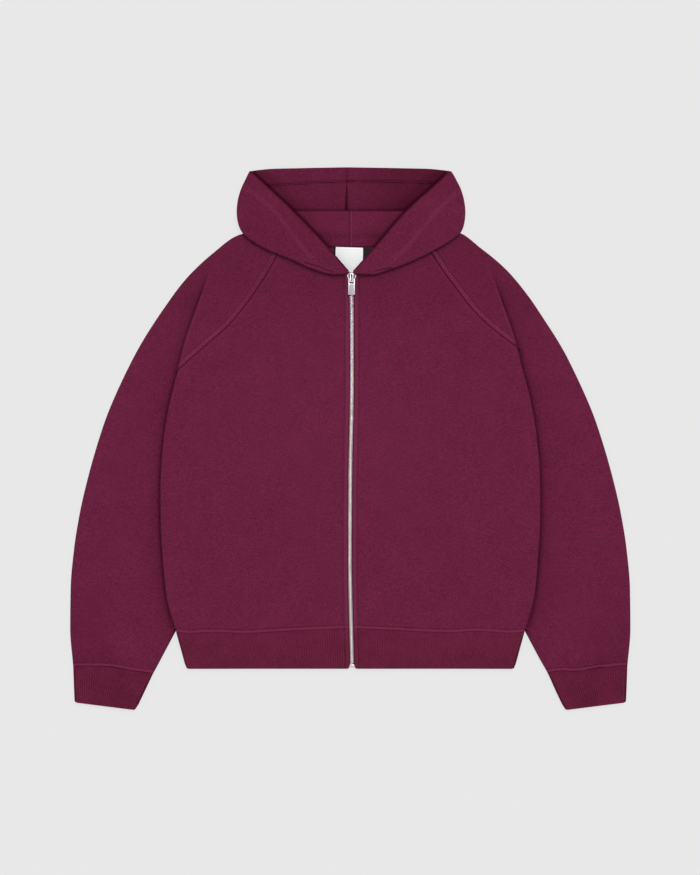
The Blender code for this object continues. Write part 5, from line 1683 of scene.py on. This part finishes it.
def sew(cloth):
    """Every row of sewing that shows."""
    thread, dark = thread_look(cloth, "sewing_thread", 1.0), thread_look(cloth, "hem_thread", 0.7)
    for side, sign in SIDES.items():
        y = np.linspace(float(hem_seam(side, 0.0)) + 0.002, 0.26, 160)
        x = sign * np.linspace(0.006, 0.275, 120)
        hem = np.column_stack([x, hem_seam(side, x) + RIDGE])
        bands = [beside(raglan_line(side)[2:-1], sign * row) for row in BAND["rows"]]
        crown_x = sign * np.linspace(0.008, 0.128, 60)
        for name, piece, look, rows in (
            ("raglan", "sleeve", thread, bands),
            ("front", "front", dark, [placket_row(sign, y), hem]),
            ("cuff", "sleeve", dark, [beside(cuff_seam(side), sign * -RIDGE)[1:-1]]),
            ("hood", "hood", thread, [beside(hood_hem_line(side)[2:-2], out) for out in (-0.001, 0.001)]),
            ("crown", "hood", dark, [np.column_stack([crown_x, crown_hem_y(crown_x)])]),
        ):
            build_stitches(f"{name}_stitches_{side}", rows, f"{piece}_{side}_cloth", look)
    y = np.linspace(HEM_END_Y + 0.002, HEM_SEAM_Y - 0.001, 40)
    rows = [placket_row(sign, y) for sign in SIDES.values()]
    build_stitches("band_stitches", rows, "hem_band_cloth", dark)


class Wire:
    """A number that varies over a surface. Sums on it add Math nodes to its material."""

    def __init__(self, look, socket):
        self.look, self.socket = look, socket

    def _sum(self, operation, *values):
        return self.look.add("ShaderNodeMath", {"operation": operation}, values)

    def __add__(self, other):
        return self._sum("ADD", self, other)

    def __sub__(self, other):
        return self._sum("SUBTRACT", self, other)

    def __rsub__(self, other):
        return self._sum("SUBTRACT", other, self)

    def __mul__(self, other):
        return self._sum("MULTIPLY", self, other)

    __radd__, __rmul__ = __add__, __mul__


class Look:
    """A material and the nodes that make it."""

    def __init__(self, name, roughness, metallic=0.0, sheen=0.0, specular=0.5):
        self.material = bpy.data.materials.new(name)
        self.material.use_nodes = True
        self.tree = self.material.node_tree
        self.shader = self.tree.nodes["Principled BSDF"]
        self.shader.inputs["Roughness"].default_value = roughness
        self.shader.inputs["Metallic"].default_value = metallic
        self.shader.inputs["Sheen Weight"].default_value = sheen
        self.shader.inputs["Sheen Roughness"].default_value = 0.6
        self.shader.inputs["Specular IOR Level"].default_value = specular
        self.place = Wire(self, self.tree.nodes.new("ShaderNodeTexCoord").outputs["Object"])

    def add(self, kind, settings=None, values=(), output=0):
        """A node of this kind, its settings made first, its sockets given values or links."""
        node = self.tree.nodes.new(kind)
        for name, value in (settings or {}).items():
            setattr(node, name, value)
        for socket, value in values.items() if isinstance(values, dict) else enumerate(values):
            if isinstance(value, Wire):
                self.tree.links.new(value.socket, node.inputs[socket])
            else:
                node.inputs[socket].default_value = value
        return Wire(self, node.outputs[output])

    def stretched(self, x, y, z, turn=0.0):
        """The places on a piece, with a pattern there stretched by these along each direction."""
        return self.add("ShaderNodeMapping", None,
                        {"Vector": self.place, "Rotation": (0.0, 0.0, turn), "Scale": (1 / x, 1 / y, 1 / z)})

    def cloud(self, size, detail=2.0, rough=0.5, where=None):
        """Soft noise from 0 to 1 whose patches are about size metres across."""
        values = {"Vector": where or self.place, "Scale": 1 / size, "Detail": detail, "Roughness": rough}
        return self.add("ShaderNodeTexNoise", None, values)

    def mixed(self, share, first, second):
        first, second = (part if isinstance(part, Wire) else (*part, 1.0) for part in (first, second))
        return self.add("ShaderNodeMix", {"data_type": "RGBA", "clamp_factor": True},
                        {0: share, 6: first, 7: second}, output=2)

    def toned(self, colour, deep, pale):
        """A colour with painted shade and painted highlight: it turns to the deep or to the pale one, as the
        piece's own shade attribute says.
        """
        settings = {"attribute_type": "GEOMETRY", "attribute_name": "shade"}
        shade = self.add("ShaderNodeAttribute", settings, output=2)
        return self.mixed(0.0 - shade, self.mixed(shade, colour, deep), pale)

    def bump(self, height, depth, strength=1.0):
        return self.add("ShaderNodeBump", None, {"Strength": strength, "Distance": depth, "Height": height})

    def wear(self, colour=None, normal=None, roughness=None):
        for socket, value in (("Base Color", colour), ("Normal", normal), ("Roughness", roughness)):
            if isinstance(value, Wire):
                self.tree.links.new(value.socket, self.shader.inputs[socket])
            elif value is not None:
                self.shader.inputs[socket].default_value = value
        return self.material


def shaded(colour, amount):
    return tuple(part * amount for part in colour)


# What painted shade at its darkest and painted highlight at its palest keep of each part of a cloth colour
PAINTED_SHADE_TINT = (0.3, 0.12, 0.2)
PAINTED_HIGHLIGHT_TINT = (1.4, 1.7, 1.65)


def tinted(colour, shares):
    return tuple(part * share for part, share in zip(colour, shares))


def fleece_look(cloth):
    """Brushed fleece: a matt nap with faint cloudy marks and a short fuzz, with the piece's painted shade and
    painted highlight.
    """
    if "brushed_fleece" in bpy.data.materials:
        return bpy.data.materials["brushed_fleece"]
    look = Look("brushed_fleece", 0.96, sheen=0.02, specular=0.02)
    streaks = look.cloud(0.0034, 3.0, 0.62, look.stretched(2.0, 1.0, 1.0))
    marks = look.cloud(0.034, 4.0, 0.62)
    fuzz = look.cloud(0.0019, 1.0, 0.5)
    share = (streaks * 0.26 + marks * 0.16 + fuzz * 0.58 - 0.5) * 4.6 + 0.5
    colour = look.mixed(share, shaded(cloth.fleece_colour, 0.78), shaded(cloth.fleece_colour, 1.22))
    colour = look.toned(colour, tinted(cloth.fleece_colour, PAINTED_SHADE_TINT), tinted(cloth.fleece_colour, PAINTED_HIGHLIGHT_TINT))
    return look.wear(colour, look.bump(fuzz * 0.6 + streaks * 0.4, cloth.nap, 0.6))


def rib_look(cloth):
    """Rib knit: fine stitches along each rib, matt, with the piece's painted shade and painted highlight."""
    if "ribbed_knit" in bpy.data.materials:
        return bpy.data.materials["ribbed_knit"]
    look = Look("ribbed_knit", 0.95, sheen=0.02, specular=0.02)
    marks = look.cloud(0.026, 4.0, 0.62)
    fuzz = look.cloud(0.0024, 1.0, 0.5)
    rows = look.cloud(0.002, 2.0, 0.6, look.stretched(0.6, 2.4, 1.0))
    share = (marks * 0.28 + rows * 0.42 + fuzz * 0.3 - 0.5) * 4.4 + 0.5
    colour = look.mixed(share, shaded(cloth.rib_colour, 0.76), shaded(cloth.rib_colour, 1.24))
    colour = look.toned(colour, tinted(cloth.rib_colour, PAINTED_SHADE_TINT), tinted(cloth.rib_colour, PAINTED_HIGHLIGHT_TINT))
    return look.wear(colour, look.bump(fuzz, cloth.nap, 0.6))


def thread_look(cloth, name, amount):
    """Sewing thread, a little lighter or darker than the fleece."""
    if name in bpy.data.materials:
        return bpy.data.materials[name]
    return Look(name, 0.9, specular=0.04).wear((*shaded(cloth.thread_colour, amount), 1.0))


def metal_look(metal, name="satin_metal", amount=0.97):
    """Satin metal of the slider and its tab, brushed along the zip."""
    if name in bpy.data.materials:
        return bpy.data.materials[name]
    look = Look(name, metal.roughness, metallic=1.0)
    grain = look.cloud(0.0005, 2.0, 0.5, look.stretched(1.0, 14.0, 1.0))
    colour = shaded(metal.colour, amount)
    return look.wear(look.mixed((grain - 0.5) * 2.0 + 0.5, shaded(colour, 0.96), shaded(colour, 1.04)))


def teeth_look(metal):
    """Metal of the teeth, a little duller and warmer than the slider."""
    if "teeth_metal" in bpy.data.materials:
        return bpy.data.materials["teeth_metal"]
    look = Look("teeth_metal", metal.roughness, metallic=1.0)
    spots = look.cloud(0.0024, 1.0, 0.5)
    share = (spots - 0.5) * 3.2 + 0.5
    return look.wear(look.mixed(share, shaded(metal.teeth_colour, 0.84), shaded(metal.teeth_colour, 1.34)))


def tape_look(metal):
    """Woven tape: fine threads across it."""
    if "woven_tape" in bpy.data.materials:
        return bpy.data.materials["woven_tape"]
    look = Look("woven_tape", 0.85, specular=0.2)
    threads = look.cloud(0.0006, 1.0, 0.5, look.stretched(3.0, 1.0, 1.0))
    share = (threads - 0.5) * 2.5 + 0.5
    colour = look.mixed(share, shaded(metal.tape_colour, 0.7), shaded(metal.tape_colour, 1.3))
    return look.wear(colour, look.bump(threads, 0.0001, 0.5))


def label_look(name, slot, cloth, border):
    """Woven satin of a label; its border is a denser weave."""
    title = f"{name}_{'border' if border else 'satin'}"
    colour = cloth.label_colour if slot == "white_label" else (0.012, 0.01, 0.011)
    look = Look(title, 0.6, specular=0.15)
    threads = look.cloud(0.0004, 1.0, 0.5, look.stretched(4.0, 1.0, 1.0))
    tone = 1.0 if border else 0.955
    colour = look.mixed((threads - 0.5) * 2.0 + 0.5, shaded(colour, tone * 0.97), shaded(colour, tone))
    return look.wear(colour, look.bump(threads, 0.00004, 0.3))


def stage_look(stage):
    """The plain floor: an even pale ground, partly lit from within so that shadows on it stay faint."""
    look = Look("plain_floor", 1.0, specular=0.0)
    look.shader.inputs["Emission Color"].default_value = (*stage.floor_colour, 1.0)
    look.shader.inputs["Emission Strength"].default_value = stage.floor_glow
    return look.wear((*shaded(stage.floor_colour, 1.0 - stage.floor_glow), 1.0))


FLOOR = {"size": 60.0, "z": -0.0004}
LENS, SENSOR = 100.0, 36.0  # millimetres
VIEW_LENGTH = 1.4  # longer side of what the picture shows of the floor


def build_stage(stage):
    """The floor, the soft lights and the camera straight above."""
    bpy.ops.mesh.primitive_plane_add(size=FLOOR["size"], location=(0.0, 0.0, FLOOR["z"]))
    floor = bpy.context.object
    floor.name = "floor"
    floor.data.materials.append(stage_look(stage))
    for name, place, softness, strength in (
        ("key", (0.18, 0.52, 1.0), 36.0, stage.key_strength),
        ("fill", (-0.8, -0.5, 1.0), 60.0, stage.fill_strength),
    ):
        bpy.ops.object.light_add(type="SUN", location=place)
        light = bpy.context.object
        light.name = name
        light.data.angle = math.radians(softness)
        light.data.energy = strength
        light.rotation_euler = Vector(place).to_track_quat("Z", "Y").to_euler()
    world = bpy.data.worlds.new("studio")
    world.use_nodes = True
    world.node_tree.nodes["Background"].inputs["Color"].default_value = (1.0, 1.0, 1.0, 1.0)
    world.node_tree.nodes["Background"].inputs["Strength"].default_value = stage.sky_strength
    bpy.context.scene.world = world
    bpy.context.scene.view_settings.view_transform = "Standard"
    bpy.ops.object.camera_add(location=(-0.0005, 0.0024, VIEW_LENGTH * LENS / SENSOR),
                              rotation=(0.0, 0.0, 0.0))
    camera = bpy.context.object
    camera.name = "camera"
    camera.data.lens = LENS
    camera.data.sensor_width = SENSOR
    camera.data.clip_end = 100.0
    bpy.context.scene.camera = camera


class HoodieCloth(bpy.types.PropertyGroup):
    """Sizes and colours of the cloth."""

    fleece_colour: FloatVectorProperty(
        name="Fleece colour", description="Colour of the body, sleeves and hood", subtype="COLOR",
        default=(0.132, 0.0148, 0.045), min=0.0, max=1.0)
    rib_colour: FloatVectorProperty(
        name="Rib colour", description="Colour of the cuffs and hem band", subtype="COLOR",
        default=(0.124, 0.0138, 0.0396), min=0.0, max=1.0)
    thread_colour: FloatVectorProperty(
        name="Thread colour", description="Colour of the sewing", subtype="COLOR",
        default=(0.32, 0.056, 0.14), min=0.0, max=1.0)
    label_colour: FloatVectorProperty(
        name="Label colour", description="Colour of the bare neck label", subtype="COLOR",
        default=(1.0, 1.0, 1.0), min=0.0, max=1.0)
    fold_strength: FloatProperty(
        name="Folds", description="Height of the soft folds and seams, as a share of the usual", default=1.0,
        min=0.0, max=1.5, subtype="FACTOR")
    nap: FloatProperty(
        name="Nap", description="Depth of the brushed surface", default=0.0004, min=0.0, max=0.002,
        unit="LENGTH")


class HoodieZip(bpy.types.PropertyGroup):
    """Colours of the zip."""

    colour: FloatVectorProperty(
        name="Metal colour", description="Colour of the slider and its tab", subtype="COLOR",
        default=(0.7, 0.635, 0.665), min=0.0, max=1.0)
    teeth_colour: FloatVectorProperty(
        name="Teeth colour", description="Colour of the teeth", subtype="COLOR",
        default=(0.74, 0.65, 0.655), min=0.0, max=1.0)
    tape_colour: FloatVectorProperty(
        name="Tape colour", description="Colour of the woven tapes", subtype="COLOR",
        default=(0.06, 0.01, 0.022), min=0.0, max=1.0)
    roughness: FloatProperty(name="Metal roughness", description="How dull the metal is", default=0.46,
                             min=0.0, max=1.0, subtype="FACTOR")


class HoodieStage(bpy.types.PropertyGroup):
    """The floor and the lights."""

    floor_colour: FloatVectorProperty(
        name="Floor colour", description="Colour of the plain floor", subtype="COLOR",
        default=(0.807, 0.807, 0.807), min=0.0, max=1.0)
    floor_glow: FloatProperty(name="Floor glow", description="Share of the floor's light that is its own",
                              default=0.86, min=0.0, max=1.0, subtype="FACTOR")
    key_strength: FloatProperty(name="Key light", description="Strength of the light beyond the neck",
                                default=1.7, min=0.0)
    fill_strength: FloatProperty(name="Fill light", description="Strength of the light before the hem",
                                 default=0.35, min=0.0)
    sky_strength: FloatProperty(name="Sky", description="Strength of the even light from all round",
                                default=0.46, min=0.0)


class HOODIE_OT_back(bpy.types.Operator):
    """Build the back panel"""

    bl_idname = "hoodie.back"
    bl_label = "Back panel"

    def execute(self, context):
        build_back(context.scene.hoodie_cloth)
        return {"FINISHED"}


class HOODIE_OT_fronts(bpy.types.Operator):
    """Build the two fronts"""

    bl_idname = "hoodie.fronts"
    bl_label = "Fronts"

    def execute(self, context):
        build_fronts(context.scene.hoodie_cloth)
        return {"FINISHED"}


class HOODIE_OT_sleeves(bpy.types.Operator):
    """Build the two raglan sleeves"""

    bl_idname = "hoodie.sleeves"
    bl_label = "Sleeves"

    def execute(self, context):
        build_sleeves(context.scene.hoodie_cloth)
        return {"FINISHED"}


class HOODIE_OT_ribs(bpy.types.Operator):
    """Build the rib hem band and cuffs"""

    bl_idname = "hoodie.ribs"
    bl_label = "Hem band and cuffs"

    def execute(self, context):
        build_hem_band(context.scene.hoodie_cloth)
        build_cuffs(context.scene.hoodie_cloth)
        return {"FINISHED"}


class HOODIE_OT_hood(bpy.types.Operator):
    """Build the two halves of the hood"""

    bl_idname = "hoodie.hood"
    bl_label = "Hood"

    def execute(self, context):
        build_hood(context.scene.hoodie_cloth)
        return {"FINISHED"}


class HOODIE_OT_labels(bpy.types.Operator):
    """Build the two bare labels at the back neck"""

    bl_idname = "hoodie.labels"
    bl_label = "Labels"

    def execute(self, context):
        build_labels(context.scene.hoodie_cloth)
        return {"FINISHED"}


class HOODIE_OT_zip(bpy.types.Operator):
    """Build the zip's tapes, teeth and lower end"""

    bl_idname = "hoodie.zip"
    bl_label = "Zip"

    def execute(self, context):
        build_tapes(context.scene.hoodie_zip)
        build_teeth(context.scene.hoodie_zip)
        build_stop(context.scene.hoodie_zip)
        return {"FINISHED"}


class HOODIE_OT_slider(bpy.types.Operator):
    """Build the zip's slider and its hinged tab"""

    bl_idname = "hoodie.slider"
    bl_label = "Slider and tab"

    def execute(self, context):
        build_slider(context.scene.hoodie_zip)
        build_pull(context.scene.hoodie_zip)
        return {"FINISHED"}


class HOODIE_OT_sewing(bpy.types.Operator):
    """Set the rows of stitches on the cloth"""

    bl_idname = "hoodie.sewing"
    bl_label = "Sewing"

    def execute(self, context):
        sew(context.scene.hoodie_cloth)
        return {"FINISHED"}


class HOODIE_OT_sheets(bpy.types.Operator):
    """An empty step: it builds and states nothing"""

    bl_idname = "hoodie.sheets"
    bl_label = "Flat cuts"

    def execute(self, context):
        return {"FINISHED"}


class HOODIE_OT_stage(bpy.types.Operator):
    """Lay out the floor, the lights and the camera"""

    bl_idname = "hoodie.stage"
    bl_label = "Stage"

    def execute(self, context):
        build_stage(context.scene.hoodie_stage)
        return {"FINISHED"}


OPERATORS = (
    HOODIE_OT_back, HOODIE_OT_fronts, HOODIE_OT_sleeves, HOODIE_OT_ribs, HOODIE_OT_hood, HOODIE_OT_labels,
    HOODIE_OT_zip, HOODIE_OT_slider, HOODIE_OT_sewing, HOODIE_OT_sheets, HOODIE_OT_stage,
)


class HOODIE_PT_pieces(bpy.types.Panel):
    """The hoodie's pieces and their settings"""

    bl_idname = "HOODIE_PT_pieces"
    bl_label = "Zip-up hoodie"
    bl_space_type = "VIEW_3D"
    bl_region_type = "UI"
    bl_category = "Hoodie"

    def draw(self, context):
        layout = self.layout
        for group in (context.scene.hoodie_cloth, context.scene.hoodie_zip, context.scene.hoodie_stage):
            for name in group.__annotations__:
                layout.prop(group, name)
        for operator in OPERATORS:
            layout.operator(operator.bl_idname)


CLASSES = (HoodieCloth, HoodieZip, HoodieStage, *OPERATORS, HOODIE_PT_pieces)


def register():
    for item in CLASSES:
        bpy.utils.register_class(item)
    bpy.types.Scene.hoodie_cloth = PointerProperty(type=HoodieCloth)
    bpy.types.Scene.hoodie_zip = PointerProperty(type=HoodieZip)
    bpy.types.Scene.hoodie_stage = PointerProperty(type=HoodieStage)


def unregister():
    del bpy.types.Scene.hoodie_stage
    del bpy.types.Scene.hoodie_zip
    del bpy.types.Scene.hoodie_cloth
    for item in reversed(CLASSES):
        bpy.utils.unregister_class(item)


def main():
    register()
    bpy.ops.object.select_all(action="DESELECT")
    for operator in OPERATORS:
        group, name = operator.bl_idname.split(".")
        getattr(getattr(bpy.ops, group), name)()


if __name__ == "__main__":
    main()
